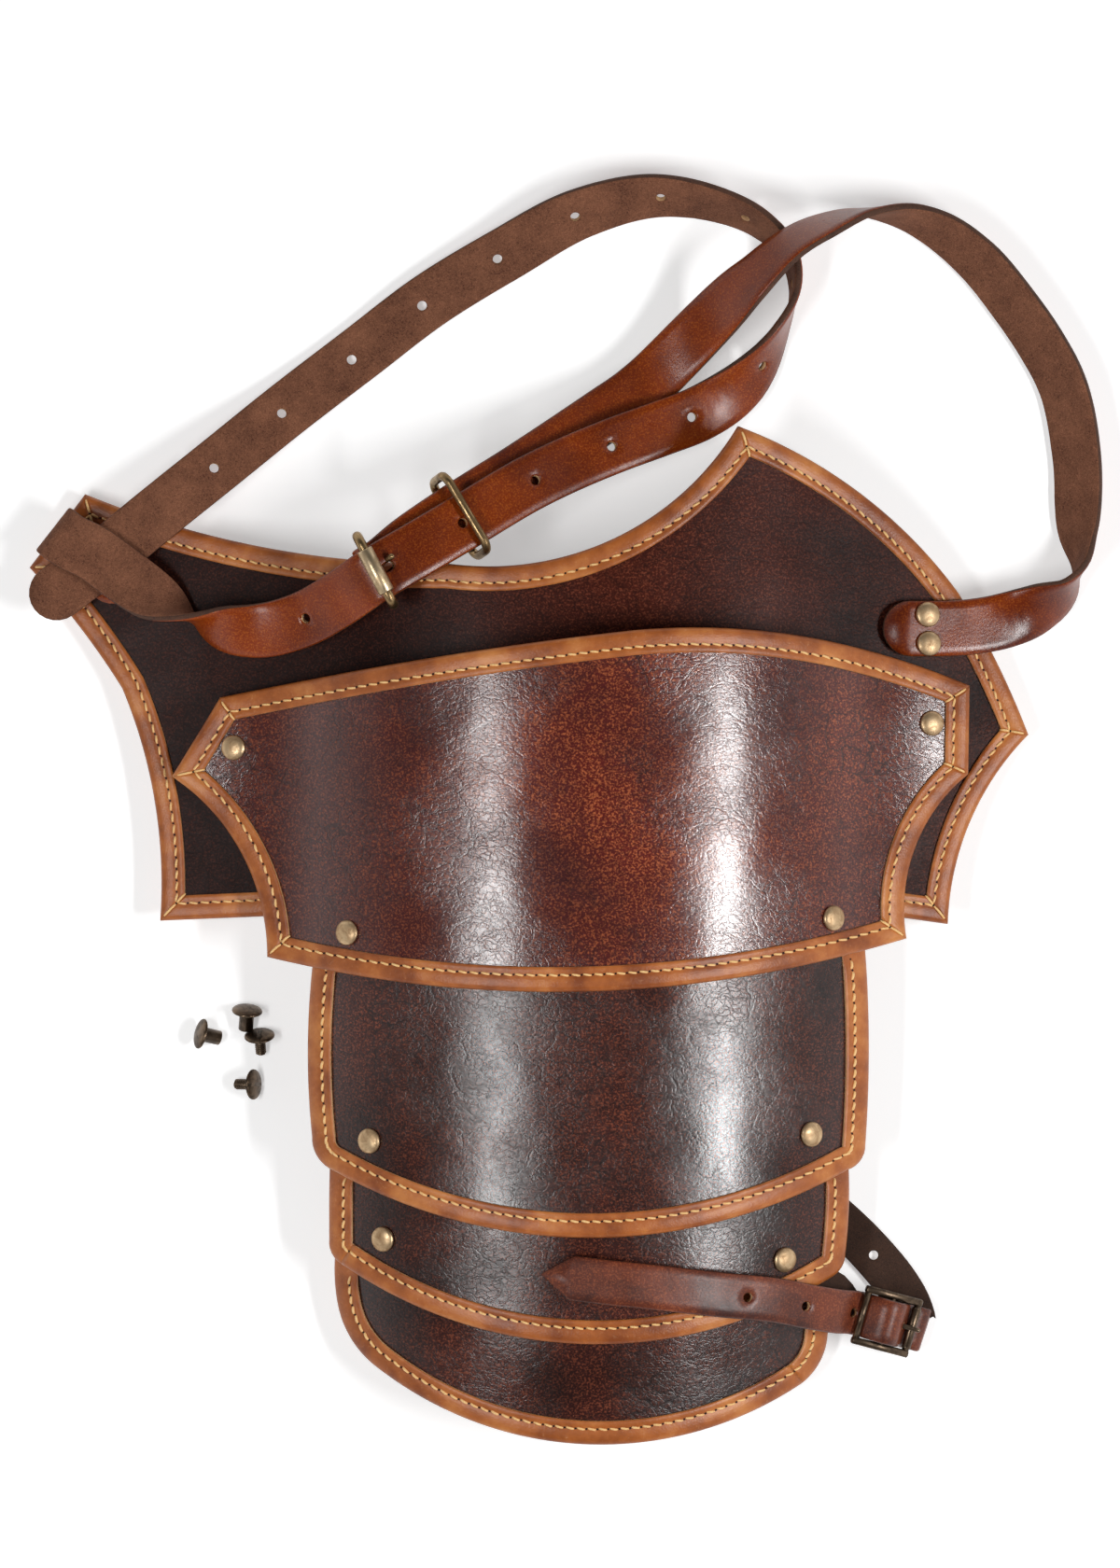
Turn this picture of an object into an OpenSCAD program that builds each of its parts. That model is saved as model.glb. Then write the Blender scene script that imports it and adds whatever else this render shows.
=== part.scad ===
// Leather shoulder armour: a shoulder plate, an upper lame and three arm lames,
// edged with sewn binding, pinned with double-cap rivets, on two buckled straps.
// X runs across the arm, Y points to the neck, Z is up from the table it lies on.

/* [Leather] */
// Thickness of the plate and the lames
panel_t = 3; // [2:0.1:4]
// Thickness of the binding leather
binding_t = 1; // [0.6:0.1:1.4]
// Visible width of the binding
binding_w = 7.7; // [5:0.1:10]
// Gap between the binding and the leather it wraps
binding_gap = 0.15; // [0.1:0.05:0.3]
// Gap between two overlapping lames at their rivets
lame_gap = 2.3; // [2.2:0.1:3.5]

/* [Arches] */
// Height of the shoulder plate's crest
plate_crest = 47.6; // [47.6:0.1:50]
// Radius of the shoulder plate's arch
plate_r = 200; // [195:1:210]
// Radius of the reverse curve in the plate's wings
plate_flare_r = 400; // [390:1:420]
// Radius of the upper lame's arch
upper_r = 155; // [152:1:158]
// Radius of the reverse curve in the upper lame's wings
upper_flare_r = 95; // [93:1:97]
// Radius of the second lame's arch
second_r = 150; // [148:1:152]
// Radius of the third lame's arch
third_r = 145; // [143:1:147]
// Radius of the cuff lame's arch
cuff_r = 133; // [131:1:135]
// Downward pitch of the second lame
second_pitch = 3; // [2:0.5:3.5]
// Downward pitch of the third lame
third_pitch = 6; // [5:0.5:6.5]
// Downward pitch of the cuff lame
cuff_pitch = 10; // [9:0.5:10.5]

/* [Rivets] */
// Diameter of a rivet cap
cap_d = 9; // [7:0.5:10]
// Height of a rivet cap
cap_h = 2.2; // [1.5:0.1:3]
// Diameter of a rivet tube
tube_d = 3.2; // [2.8:0.1:4]
// Diameter of the pin inside the tube
rivet_pin_d = 1.8; // [1.4:0.1:2]
// Diameter of a rivet's foot
foot_d = 8; // [6:0.5:9]
// Thickness of a rivet's foot
foot_t = 0.9; // [0.7:0.1:1.2]
// Room round a tube in a lame that turns on it
turn_clearance = 0.5; // [0.4:0.1:0.8]

/* [Chest strap] */
// Width of the chest straps
strap_w = 20; // [18:0.5:20.5]
// Thickness of the chest straps
strap_t = 2.8; // [2.2:0.1:2.8]
// Diameter of the holes in the long strap
strap_hole_d = 4; // [3.6:0.1:4.5]
// Distance between the holes
strap_hole_pitch = 32; // [30:0.5:33]

/* [Arm strap] */
// Width of the arm straps
arm_w = 16; // [14:0.5:16.5]
// Thickness of the arm straps
arm_t = 2.2; // [1.8:0.1:2.2]
// Diameter of the holes in the arm strap
arm_hole_d = 3.4; // [3.2:0.1:3.8]
// Distance between the holes
arm_hole_pitch = 24; // [22:0.5:26]

/* [Buckles] */
// Wire diameter of the chest buckle's frame
wire_d = 3.6; // [3.2:0.1:4]
// Length of the chest buckle's bars
wire_len = 27; // [26:0.5:30]
// Distance from the heel bar to the roller bar
wire_rise = 15; // [15:0.5:18]
// Outer diameter of the chest buckle's roller
roller_d = 5.8; // [5.4:0.1:6]
// Length of the chest buckle's roller
roller_len = 17; // [15:0.5:18]
// Running gap between a roller and its bar
roller_gap = 0.08; // [0.04:0.01:0.1]
// Wire diameter of the keeper ring
keeper_d = 3.2; // [2.8:0.1:3.4]
// Thickness of the arm buckle's bars
arm_bar = 2.6; // [2.4:0.1:2.8]

/* [Spare screws] */
// Diameter of the heads
head_d = 11; // [10:0.5:12]
// Height of the heads
head_h = 1.8; // [1.4:0.1:2.2]
// Outer diameter of the posts
post_d = 5.3; // [5:0.1:6]
// Length of the posts
post_len = 7; // [6:0.5:8]
// Diameter of the screw shanks
shank_d = 4; // [3.6:0.1:4.2]

/* [Hidden] */
$fn = 48;
tan_leather = [0.70, 0.42, 0.20];
dark_leather = [0.24, 0.12, 0.09];
strap_leather = [0.50, 0.20, 0.09];
brass = [0.60, 0.48, 0.28];
bronze = [0.30, 0.24, 0.20];

// Points of an outline: corners in order, each with a point its edge bends through
plate_path = [
  [[-171, 111], [-108, 92]], [[-40, 85.3], [22, 95.5]], [[64, 134], [107, 111]],
  [[142, 76], [156, 51]], [[167, 26], [148, -1]], [[138, -41], undef],
  [[117, -38], [9, 4]], [[-99, -38], undef],
  [[-143, -40], [-147.5, 14]], [[-157, 43], [-170, 62]], [[-190, 86], undef]
];
upper_path = [
  [[-121.5, 38], [-36, 53]], [[25, 61], [88, 59]], [[145.5, 42.5], undef],
  [[145, 12], [126, -14]], [[122.5, -46.5], [14, -63.8]], [[-104, -53], [-110, -23.5]],
  [[-138, 11], undef]
];
second_path = [
  [[-85, -38], undef], [[106, -33], [109, -73]], [[108, -121], undef],
  [[102, -129], [17, -151.3]], [[-81, -129], undef], [[-88, -118], [-89.5, -86]]
];
third_path = [
  [[-81, -108], undef], [[100, -108], [102.3, -142]], [[101, -160], undef],
  [[96, -168], [17, -189.8]], [[-78, -163], undef], [[-82, -155], [-82, -143]]
];
cuff_path = [
  [[-77, -146], undef], [[94, -146], [97, -168]], [[95, -190], [92, -202]],
  [[73, -214], [14, -226.6]], [[-50, -208], [-66, -200]], [[-78, -186], [-79, -176]]
];

// An arched sheet: centre x, pivot y, crest height, radius, half width of the arc,
// radius of the reverse curve, pitch
plate = [8, 25, plate_crest, plate_r, 75, plate_flare_r, 0];
step_down = panel_t + lame_gap;
upper_shape = [8, 25, 0, upper_r, 95, upper_flare_r, 0];
upper_crest = top_z(plate, -117.7, 21) + lame_gap + 1 + panel_t * 1.05 + arch_drop(upper_shape, -125.7);
upper = [8, 25, upper_crest, upper_r, 95, upper_flare_r, 0];
second_crest = upper_crest - step_down;
third_pivot_lead = 73.5;
cuff_pivot_lead = 40;
second = [9, -44, second_crest, second_r, 120, 500, second_pitch];
third_crest = second_crest - step_down - third_pivot_lead * tan(second_pitch);
third = [9, -118, third_crest, third_r, 120, 500, third_pitch];
cuff_crest = third_crest - step_down - cuff_pivot_lead * tan(third_pitch);
cuff = [8, -158, cuff_crest, cuff_r, 120, 500, cuff_pitch];

// Places of the rivets, left and right
shoulder_rivets = [[-117.1, 21], [132.7, 29.7]];
second_rivets = [[-75.7, -44.8], [96.7, -39.7]];
third_rivets = [[-68, -119], [89, -116.7]];
cuff_rivets = [[-63.3, -154.3], [79.7, -161.7]];
strap_rivets = [[131.3, 68.7], [131.7, 58.3]];
long_strap_rivets = [[-167, 93], [-172.5, 85.5]];

// Fall of an arch below its crest at u from its centre
function arc_fall(r, u) = r - sqrt(r * r - u * u);
function flare_sin(a, u) = a[4] / a[3] - (abs(u) - a[4]) / a[5];
function arch_drop(a, u) = abs(u) <= a[4] ? arc_fall(a[3], u)
  : arc_fall(a[3], a[4]) + a[5] * (sqrt(1 - pow(flare_sin(a, u), 2)) - sqrt(1 - pow(a[4] / a[3], 2)));
// Slope of the sheet across its arch, in degrees
function arch_slope(a, u) = sign(u) * asin(abs(u) <= a[4] ? abs(u) / a[3] : flare_sin(a, u));
// Height of the sheet's top at a place in plan
function top_z(a, x, y) = let(d = arch_drop(a, x - a[0]), v = (y - a[1] - d * sin(a[6])) / cos(a[6]))
  a[2] + v * sin(a[6]) - d * cos(a[6]);
function band_point(a, u, rise) = let(s = arch_slope(a, u)) [u + rise * sin(s), rise * cos(s) - arch_drop(a, u)];

// Circle through three points, walked from the first to the last
function circle_centre(a, b, c) = let(
  d = 2 * (a.x * (b.y - c.y) + b.x * (c.y - a.y) + c.x * (a.y - b.y)), aa = a * a, bb = b * b, cc = c * c)
  [(aa * (b.y - c.y) + bb * (c.y - a.y) + cc * (a.y - b.y)) / d,
   (aa * (c.x - b.x) + bb * (a.x - c.x) + cc * (b.x - a.x)) / d];
function angle_of(v) = atan2(v.y, v.x);
function turn(a, b) = (b - a + 900) % 360 - 180;
function bend(a, m, b, n) = let(c = circle_centre(a, m, b), r = norm(a - c), a0 = angle_of(a - c),
  sweep = turn(a0, angle_of(m - c)) + turn(angle_of(m - c), angle_of(b - c)))
  [for (i = [0:n - 1]) c + r * [cos(a0 + sweep * i / n), sin(a0 + sweep * i / n)]];
function trace(path, n = 10) = [for (i = [0:len(path) - 1])
  let(a = path[i][0], m = path[i][1], b = path[(i + 1) % len(path)][0])
  each (m == undef ? [a] : bend(a, m, b, n))];

// A sheet between two rises above its top face, with no outline yet
module band(a, low, high) {
  reach = 206;
  steps = 56;
  half = min(reach, a[4] == 120 ? 118 : reach);
  low_side = [for (i = [0:steps]) band_point(a, -half + 2 * half * i / steps, low)];
  high_side = [for (i = [steps:-1:0]) band_point(a, -half + 2 * half * i / steps, high)];
  translate([a[0], a[1], a[2]])
    rotate([a[6], 0, 0])
      rotate([90, 0, 0])
        linear_extrude(height = 2 * reach, center = true)
          polygon(concat(low_side, high_side));
}

module outline(path, grow) {
  translate([0, 0, -50])
    linear_extrude(height = 200)
      offset(delta = grow)
        polygon(trace(path));
}

module plain_outline(path) {
  translate([0, 0, -50])
    linear_extrude(height = 200)
      polygon(trace(path));
}

module panel(a, path) {
  intersection() {
    band(a, -panel_t, 0);
    plain_outline(path);
  }
}

// Binding folded round the edge of a sheet
module binding(a, path) {
  wrap = binding_t + binding_gap;
  difference() {
    intersection() {
      band(a, -panel_t - wrap, wrap);
      outline(path, wrap);
    }
    intersection() {
      band(a, -panel_t - binding_gap, binding_gap);
      outline(path, binding_gap);
    }
    outline(path, -binding_w);
  }
}

// Stands children on a sheet's top face, square to it
module on_sheet(a, p) {
  translate([p.x, p.y, top_z(a, p.x, p.y)])
    rotate([a[6], 0, 0])
      rotate([0, arch_slope(a, p.x - a[0]), 0])
        children();
}

seat_gap = 0.2;
foot_gap = 0.5;
// Points of a dome's curve, from its edge at a height up to its top on the axis
function dome_curve(d, low, high, n = 6) = let(h = high - low, r = (d * d / 4 + h * h) / (2 * h), half = asin(d / 2 / r))
  [for (i = [0:n]) let(a = half * (1 - i / n)) [r * sin(a), high - r + r * cos(a)]];
// Domed cap with the pin that is driven into the tube
module rivet_cap(grip, high = cap_h) {
  rim = min(0.5, high / 2);
  translate([0, 0, seat_gap])
    rotate_extrude()
      polygon(concat([[0, -grip / 2], [rivet_pin_d / 2, -grip / 2], [rivet_pin_d / 2, 0], [cap_d / 2, 0]],
        dome_curve(cap_d, rim, high)));
}

// Foot and tube below, ending just under the cap
module rivet_foot(grip) {
  translate([0, 0, -grip - foot_t])
    difference() {
      union() {
        cylinder(h = foot_t, d = foot_d);
        cylinder(h = grip + foot_t, d = tube_d);
      }
      translate([0, 0, foot_t])
        cylinder(h = grip + foot_t, d = rivet_pin_d + 2 * binding_gap);
    }
}

module rivet_hole(a, places, room) {
  for (p = places)
    on_sheet(a, p) translate([0, 0, -25]) cylinder(h = 35, d = tube_d + 2 * room);
}

// From a cap's seat on the upper sheet to its foot under the lower one
function rivet_grip(a, b, p) = let(s = arch_slope(a, p.x - a[0]))
  (top_z(a, p.x, p.y) - top_z(b, p.x, p.y)) * cos(s) + panel_t + 2 * foot_gap
  + cap_d / 2 * abs(sin(s - arch_slope(b, p.x - b[0])));

module shoulder_plate() {
  color(dark_leather)
    difference() {
      panel(plate, plate_path);
      rivet_hole(upper, shoulder_rivets, turn_clearance);
      rivet_hole(strap_face, strap_rivets, binding_gap);
      rivet_hole(long_face, long_strap_rivets, binding_gap);
    }
}
module shoulder_binding() color(tan_leather) binding(plate, plate_path);
module upper_lame() {
  color(dark_leather)
    difference() {
      panel(upper, upper_path);
      rivet_hole(upper, shoulder_rivets, binding_gap);
      rivet_hole(upper, second_rivets, binding_gap);
    }
}
module upper_lame_binding() color(tan_leather) binding(upper, upper_path);
module second_lame() {
  color(dark_leather)
    difference() {
      panel(second, second_path);
      rivet_hole(upper, second_rivets, turn_clearance);
      rivet_hole(second, third_rivets, binding_gap);
    }
}
module open_binding(a, path, cut_y) {
  difference() {
    binding(a, path);
    translate([-200, cut_y, -50]) cube([400, 100, 200]);
  }
}
second_open_y = -54;
third_open_y = -133;
cuff_open_y = -170;
module second_lame_binding() color(tan_leather) open_binding(second, second_path, second_open_y);
module third_lame() {
  color(dark_leather)
    difference() {
      panel(third, third_path);
      rivet_hole(second, third_rivets, turn_clearance);
      rivet_hole(third, cuff_rivets, binding_gap);
    }
}
module third_lame_binding() color(tan_leather) open_binding(third, third_path, third_open_y);
module cuff_lame() {
  color(dark_leather)
    difference() {
      panel(cuff, cuff_path);
      rivet_hole(third, cuff_rivets, turn_clearance);
    }
}
module cuff_lame_binding() color(tan_leather) open_binding(cuff, cuff_path, cuff_open_y);

module cap_at(a, p, grip, high = cap_h) color(brass) on_sheet(a, p) rivet_cap(grip, high);
module foot_at(a, p, grip) color(brass) on_sheet(a, p) rivet_foot(grip);
module caps(a, b, places) for (p = places) cap_at(a, p, rivet_grip(a, b, p));
module feet(a, b, places) for (p = places) foot_at(a, p, rivet_grip(a, b, p));
module shoulder_rivet_caps() caps(upper, plate, shoulder_rivets);
module shoulder_rivet_feet() feet(upper, plate, shoulder_rivets);
module second_rivet_caps() caps(upper, second, second_rivets);
module second_rivet_feet() feet(upper, second, second_rivets);
module third_rivet_caps() caps(second, third, third_rivets);
module third_rivet_feet() feet(second, third, third_rivets);
module cuff_rivet_caps() caps(third, cuff, cuff_rivets);
module cuff_rivet_feet() {
  foot_at(third, cuff_rivets[0], rivet_grip(third, cuff, cuff_rivets[0]) + arm_t + foot_gap);
  foot_at(third, cuff_rivets[1], rivet_grip(third, cuff, cuff_rivets[1]));
}

// Routes of the straps, in rows: x, y, height of the lowest edge, direction of the
// width in plan, tilt of the width. A tilt of 0 shows the grain, 180 the flesh side.
function above(a, x, y, rise, az, el) = [x, y, top_z(a, x, y) + rise, az, el];
function fold_rows(centre, along, r, low, az, el, from, to) = [for (a = [from:(to - from) / 4:to])
  [centre.x + r * cos(a) * cos(along), centre.y + r * cos(a) * sin(along), low + r * sin(a), az, el]];

long_fold_r = 4.6;
long_fold = [-177.8, 96];
long_rows = concat(
  [above(plate, -161, 82.7, 0.65, 52, 185), above(plate, -169, 89, 1.49, 52, 183)],
  fold_rows(long_fold, 142, long_fold_r, top_z(plate, long_fold.x, long_fold.y) + 2.26 + long_fold_r, 52, 180, -90, 90),
  [above(plate, -168, 91, 10.37, 52, 180), above(plate, -157, 83, 8.86, 54, 176), above(plate, -145.3, 74.7, 5.51, 60, 150),
   above(plate, -132.7, 67.3, 2.2, 68, 92), above(plate, -122, 63.7, 2.74, 79, 45), above(plate, -108.7, 62.7, 4.24, 93, 20),
   above(plate, -93, 66.3, 7.48, 108, 8), above(plate, -79, 73.5, 14.23, 116, 2), above(plate, -65.8, 82.2, 19.21, 120, 0),
   above(plate, -50.3, 91.5, 9.79, 121, 0), above(plate, -35.7, 100.3, 0.43, 121, 0), [-9.7, 116, 32.4, 119, 0],
   [19.3, 129.3, 20.8, 114, 0], [36.3, 135.7, 15.5, 112, 2], [50.3, 141.3, 10.6, 116, 8],
   [66.3, 152.3, 4, 132, 38], [79, 170.7, 0.5, 157, 78], [84.3, 187, 0.3, 180, 95],
   [81.3, 200, 0.3, 206, 104], [72.3, 209, 0.3, 228, 112], [53, 217.3, 0.3, 256, 122],
   [35.3, 219.7, 0.3, 270, 132], [7.7, 213.7, 0.3, 290, 148], [-20.3, 198.7, 0.3, 301, 166],
   [-47.3, 182.3, 0.3, 304, 174], [-72.3, 163.3, 0.3, 308, 178], [-97.7, 143.7, 3, 308, 180],
   above(plate, -124, 122, -4.48, 308, 180), above(plate, -145.3, 104.7, 3.41, 308, 180), above(plate, -163.7, 89.7, 5.92, 307, 180),
   above(plate, -181, 76.7, 6.96, 306, 180)]);

heel = [-65.7, 83.7, top_z(plate, -65.7, 83.7) + 13.27];
heel_wrap_r = 3.4;
bar_az = 118;
buckle_rows = concat(
  [above(plate, 125, 63.7, 1.73, 90, 0), above(plate, 133, 63.7, 1.68, 90, 0), above(plate, 146.3, 64.3, 1.68, 92, 0), above(plate, 158, 66.3, 0.89, 96, 3),
   [171, 70.7, 6.5, 114, 30], [181.7, 76.7, 1.6, 140, 65], [186.7, 86, 0.3, 170, 96],
   [186.2, 98.7, 0.3, 181, 128], [185.7, 126, 0.3, 186, 143], [180, 153, 0.3, 200, 143],
   [172.3, 167.3, 0.3, 209, 143], [163, 180.7, 0.3, 217, 141], [149.7, 196.7, 0.3, 226, 137],
   [136, 207.3, 0.3, 240, 126], [122.3, 212.7, 1.5, 258, 107], [108.7, 213.3, 7, 277, 84],
   [95, 208.3, 15, 295, 66], [81.7, 200.7, 21.5, 304, 56], [68, 188.3, 21.5, 312, 42],
   [53, 173.7, 13.5, 315, 20], [40.7, 161.3, 9.5, 313, 8], [33, 153.7, 9, 312, 3],
   [26.3, 148, 9.8, 309, 0], [16.3, 141, 13.2, 305, 0], [6.3, 134, 18.2, 303, 0],
   [-13.7, 120.3, 28.5, 302, 0], above(plate, -37.7, 104.7, -3.41, 302, 0), above(plate, -53.7, 93.4, 7.46, 300, 0)],
  fold_rows(heel, 208, heel_wrap_r, heel.z - strap_t / 2, 298, 0, 90, -90),
  [above(plate, -53.7, 93.4, 3.86, 300, 0), above(plate, -37.7, 104.7, -7.21, 302, 0), above(plate, -26, 112.2, -14.69, 302, 0)]);

arm_centre = [117, -184.9, 15];
arm_az = -16;
arm_tilt = 20;
function in_arm_buckle(q, t) = [
  arm_centre.x + cos(arm_az) * (q.x * cos(arm_tilt) + q.y * sin(arm_tilt)),
  arm_centre.y + sin(arm_az) * (q.x * cos(arm_tilt) + q.y * sin(arm_tilt)),
  arm_centre.z - q.x * sin(arm_tilt) + q.y * cos(arm_tilt) - t / 2, arm_az + 90, 180];
arm_half = 9.95;
arm_fold_r = 2.7;
arm_rows = concat(
  [above(third, -51, -154.7, -13.79, 90, 189), above(third, -57, -154.5, -14.2, 90, 189), above(third, -62, -154.4, -14.72, 90, 189),
   above(third, -67, -154, -15.5, 90, 186), [-70.5, -153.6, 10.3, 90, 182], [-70.5, -153.3, 5.5, 90, 180],
   [-67, -153, 1.9, 90, 180], [-60, -152.5, 0.5, 91, 180], [-50, -151, 0.3, 93, 180],
   [0, -145, 0.3, 96, 180], [50, -138, 0.3, 96, 180], [80, -138.5, 0.3, 78, 180],
   [94, -144.5, 0.3, 56, 180], [103, -152, 0.3, 46, 180], [113.5, -162.7, 0.3, 43, 180],
   [121, -172, 0.3, 42, 180], [125.3, -179.3, 0.4, 46, 180], [127.2, -184.8, 0.9, 58, 180]],
  fold_rows([127.9, -187.9], -18, arm_fold_r, 1 + arm_fold_r, 72, 180, -90, 90),
  [for (q = [[arm_half, -3.6], [8.2, -2.9], [6.7, -1.2], [4.9, 1.4], [2.8, 3.8], [0, 4.7],
             [-2.8, 3.8], [-5, 1.4], [-7.1, -0.9], [-8.5, -2.5], [-arm_half, -2.8]])
    in_arm_buckle(q, arm_t)],
  [above(cuff, 99.5, -180.8, 16.64, 80, 180), above(cuff, 88, -178.4, 15.24, 81, 180), above(cuff, 77.7, -176, 13.99, 81, 180),
   above(cuff, 56.7, -173.3, 11.86, 82, 180), above(cuff, 33, -170.3, 10.36, 82, 180), above(cuff, 13, -168, 10.04, 81.5, 180),
   above(cuff, 4, -166.8, 10.5, 81.5, 180)]);
arm_buckle_t = 1.6;
arm_buckle_rows = concat(
  [above(third, 66, -157.2, -7.16, 76, 188), above(third, 70.5, -159.5, -7.39, 76, 188), above(third, 74.5, -161.3, -7.55, 76, 188),
   above(third, 80, -163.6, -7.85, 75, 187), above(third, 86, -166.7, -7.95, 75, 184), above(third, 91, -170, -8.2, 75, 181),
   above(third, 95.5, -173.3, -7.92, 75, 180), above(third, 98.5, -175.2, -7.62, 75, 180)],
  [for (q = [[-13, -9.2], [-9.6, -6], [-5.9, -3.3], [-3.4, -0.4], [-2, 1.25], [0, 2.35], [1.66, 1.66],
             [2.35, 0], [1.66, -1.66], [0, -2.35], [-2.3, -3.7], [-4.9, -5.4], [-8.6, -8]])
    in_arm_buckle(q, arm_buckle_t)]);

// A strap's stations along its rows: centre, width direction, normal, distance
function row_place(r, w, t) = [r[0], r[1], r[2] + w / 2 * abs(sin(r[4])) + t / 2 * abs(cos(r[4])), r[3], r[4]];
function place(r) = [r[0], r[1], r[2]];
function unit(v) = v / norm(v);
function mix(p, gap, i) = let(n = len(p) - 1)
  i == 0 ? (p[1] - p[0]) / gap[0]
  : i == n ? (p[n] - p[n - 1]) / gap[n - 1]
  : ((p[i] - p[i - 1]) / gap[i - 1] * gap[i] + (p[i + 1] - p[i]) / gap[i] * gap[i - 1]) / (gap[i - 1] + gap[i]);
function hermite(a, b, ma, mb, h, s) = a * (2 * s * s * s - 3 * s * s + 1) + ma * h * (s * s * s - 2 * s * s + s)
  + b * (3 * s * s - 2 * s * s * s) + mb * h * (s * s * s - s * s);
function smooth_rows(rows, w, t, step) = let(
  p = [for (r = rows) row_place(r, w, t)],
  gap = [for (i = [0:len(p) - 2]) norm(place(p[i + 1]) - place(p[i]))],
  m = [for (i = [0:len(p) - 1]) mix(p, gap, i)])
  concat([for (i = [0:len(p) - 2]) let(n = max(2, ceil(gap[i] / step))) for (k = [0:n - 1])
    hermite(p[i], p[i + 1], m[i], m[i + 1], gap[i], k / n)], [p[len(p) - 1]]);
function stations(rows, w, t, step) = let(
  q = smooth_rows(rows, w, t, step), n = len(q) - 1,
  run = [for (i = 0, s = 0; i <= n; s = s + (i < n ? norm(place(q[i + 1]) - place(q[i])) : 0), i = i + 1) s])
  [for (i = [0:n]) let(
    along = unit(place(q[min(i + 1, n)]) - place(q[max(i - 1, 0)])),
    raw = [cos(q[i][4]) * cos(q[i][3]), cos(q[i][4]) * sin(q[i][3]), sin(q[i][4])],
    across = unit(raw - along * (raw * along)))
    [place(q[i]), across, cross(along, across), run[i], along]];

// End caps: a round end is a half circle, a pointed end narrows in a straight line
function end_shape(pointed) = pointed ? [[0.55, 0.5], [1, 0.04]]
  : [for (a = [15, 32, 50, 66, 80]) [sin(a), cos(a)]];
function moved(st, d, k) = [st[0] + st[4] * d, st[1] * k, st[2]];
function with_ends(st, w, pointed) = let(n = len(st) - 1, last = end_shape(pointed), first = end_shape(false))
  concat([for (i = [len(first) - 1:-1:0]) moved(st[0], -first[i][0] * w / 2, first[i][1])],
    [for (s = st) moved(s, 0, 1)],
    [for (e = last) moved(st[n], e[0] * w / 2 * (pointed ? 1.4 : 1), e[1])]);

module ribbon(st, w, t, pointed = false) {
  cuts = with_ends(st, w, pointed);
  n = len(cuts);
  points = [for (c = cuts) each [
    c[0] - c[1] * w / 2 + c[2] * t / 2, c[0] + c[1] * w / 2 + c[2] * t / 2,
    c[0] + c[1] * w / 2 - c[2] * t / 2, c[0] - c[1] * w / 2 - c[2] * t / 2]];
  sides = [for (i = [0:n - 2]) for (k = [0:3]) let(a = 4 * i + k, b = 4 * i + (k + 1) % 4)
    each [[a, b, b + 4], [a, b + 4, a + 4]]];
  polyhedron(points, concat([[3, 2, 1], [3, 1, 0]], sides, [[4 * n - 4, 4 * n - 3, 4 * n - 2], [4 * n - 4, 4 * n - 2, 4 * n - 1]]));
}

// Stands children on a strap at a distance along it, square to its face
function at_run(st, s) = [for (i = [0:len(st) - 2]) if (st[i][3] <= s && st[i + 1][3] > s) i][0];
module on_strap(st, s) {
  i = at_run(st, s);
  k = (s - st[i][3]) / (st[i + 1][3] - st[i][3]);
  c = st[i][0] * (1 - k) + st[i + 1][0] * k;
  x = st[i][4];
  y = st[i][1];
  z = st[i][2];
  multmatrix([[x.x, y.x, z.x, c.x], [x.y, y.y, z.y, c.y], [x.z, y.z, z.z, c.z], [0, 0, 0, 1]])
    children();
}
module strap_holes(st, places, d) {
  for (s = places) on_strap(st, s) cylinder(h = 8, d = d, center = true, $fn = 24);
}
function nearest_run(st, p) = let(
  near = min([for (s = st) norm(s[0] - p)])) [for (s = st) if (norm(s[0] - p) == near) s[3]][0];

long_line = stations(long_rows, strap_w, strap_t, 7);
buckle_line = stations(buckle_rows, strap_w, strap_t, 7);
arm_line = stations(arm_rows, arm_w, arm_t, 6);
arm_buckle_line = stations(arm_buckle_rows, arm_w - 1, arm_buckle_t, 5);

tongue_d = 2.4;
tongue_lean = 55;
tongue_reach = 14;
tongue_off = 1.5;
module at_heel() translate(heel) rotate([0, 0, bar_az - 90]) children();
module tongue_way(d) {
  at_heel() translate([0, tongue_off, 0]) rotate([0, 90 - tongue_lean, 0]) cylinder(h = 30, d = d, $fn = 24);
}
tongue_hole_play = 0.8;
plain_end = 60;
tongue_hole_run = nearest_run(long_line, heel + [4, 3, strap_t + heel_wrap_r]);
long_end_run = long_line[len(long_line) - 1][3];

module long_strap() {
  color(strap_leather)
    difference() {
      ribbon(long_line, strap_w, strap_t);
      strap_holes(long_line, [for (k = [-8:14]) let(s = tongue_hole_run + k * strap_hole_pitch)
        if (k != 0 && k > -4 && s < long_end_run - plain_end && s > plain_end) s], strap_hole_d);
      tongue_way(strap_hole_d + tongue_hole_play);
      rivet_hole(long_face, long_strap_rivets, binding_gap);
    }
}
module buckle_strap() {
  color(strap_leather)
    difference() {
      ribbon(buckle_line, strap_w, strap_t);
      at_heel() translate([-7, tongue_off - 2.3, -6]) cube([18, 4.6, 14]);
      rivet_hole(strap_face, strap_rivets, binding_gap);
    }
}

corner_r = 4;
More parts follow.
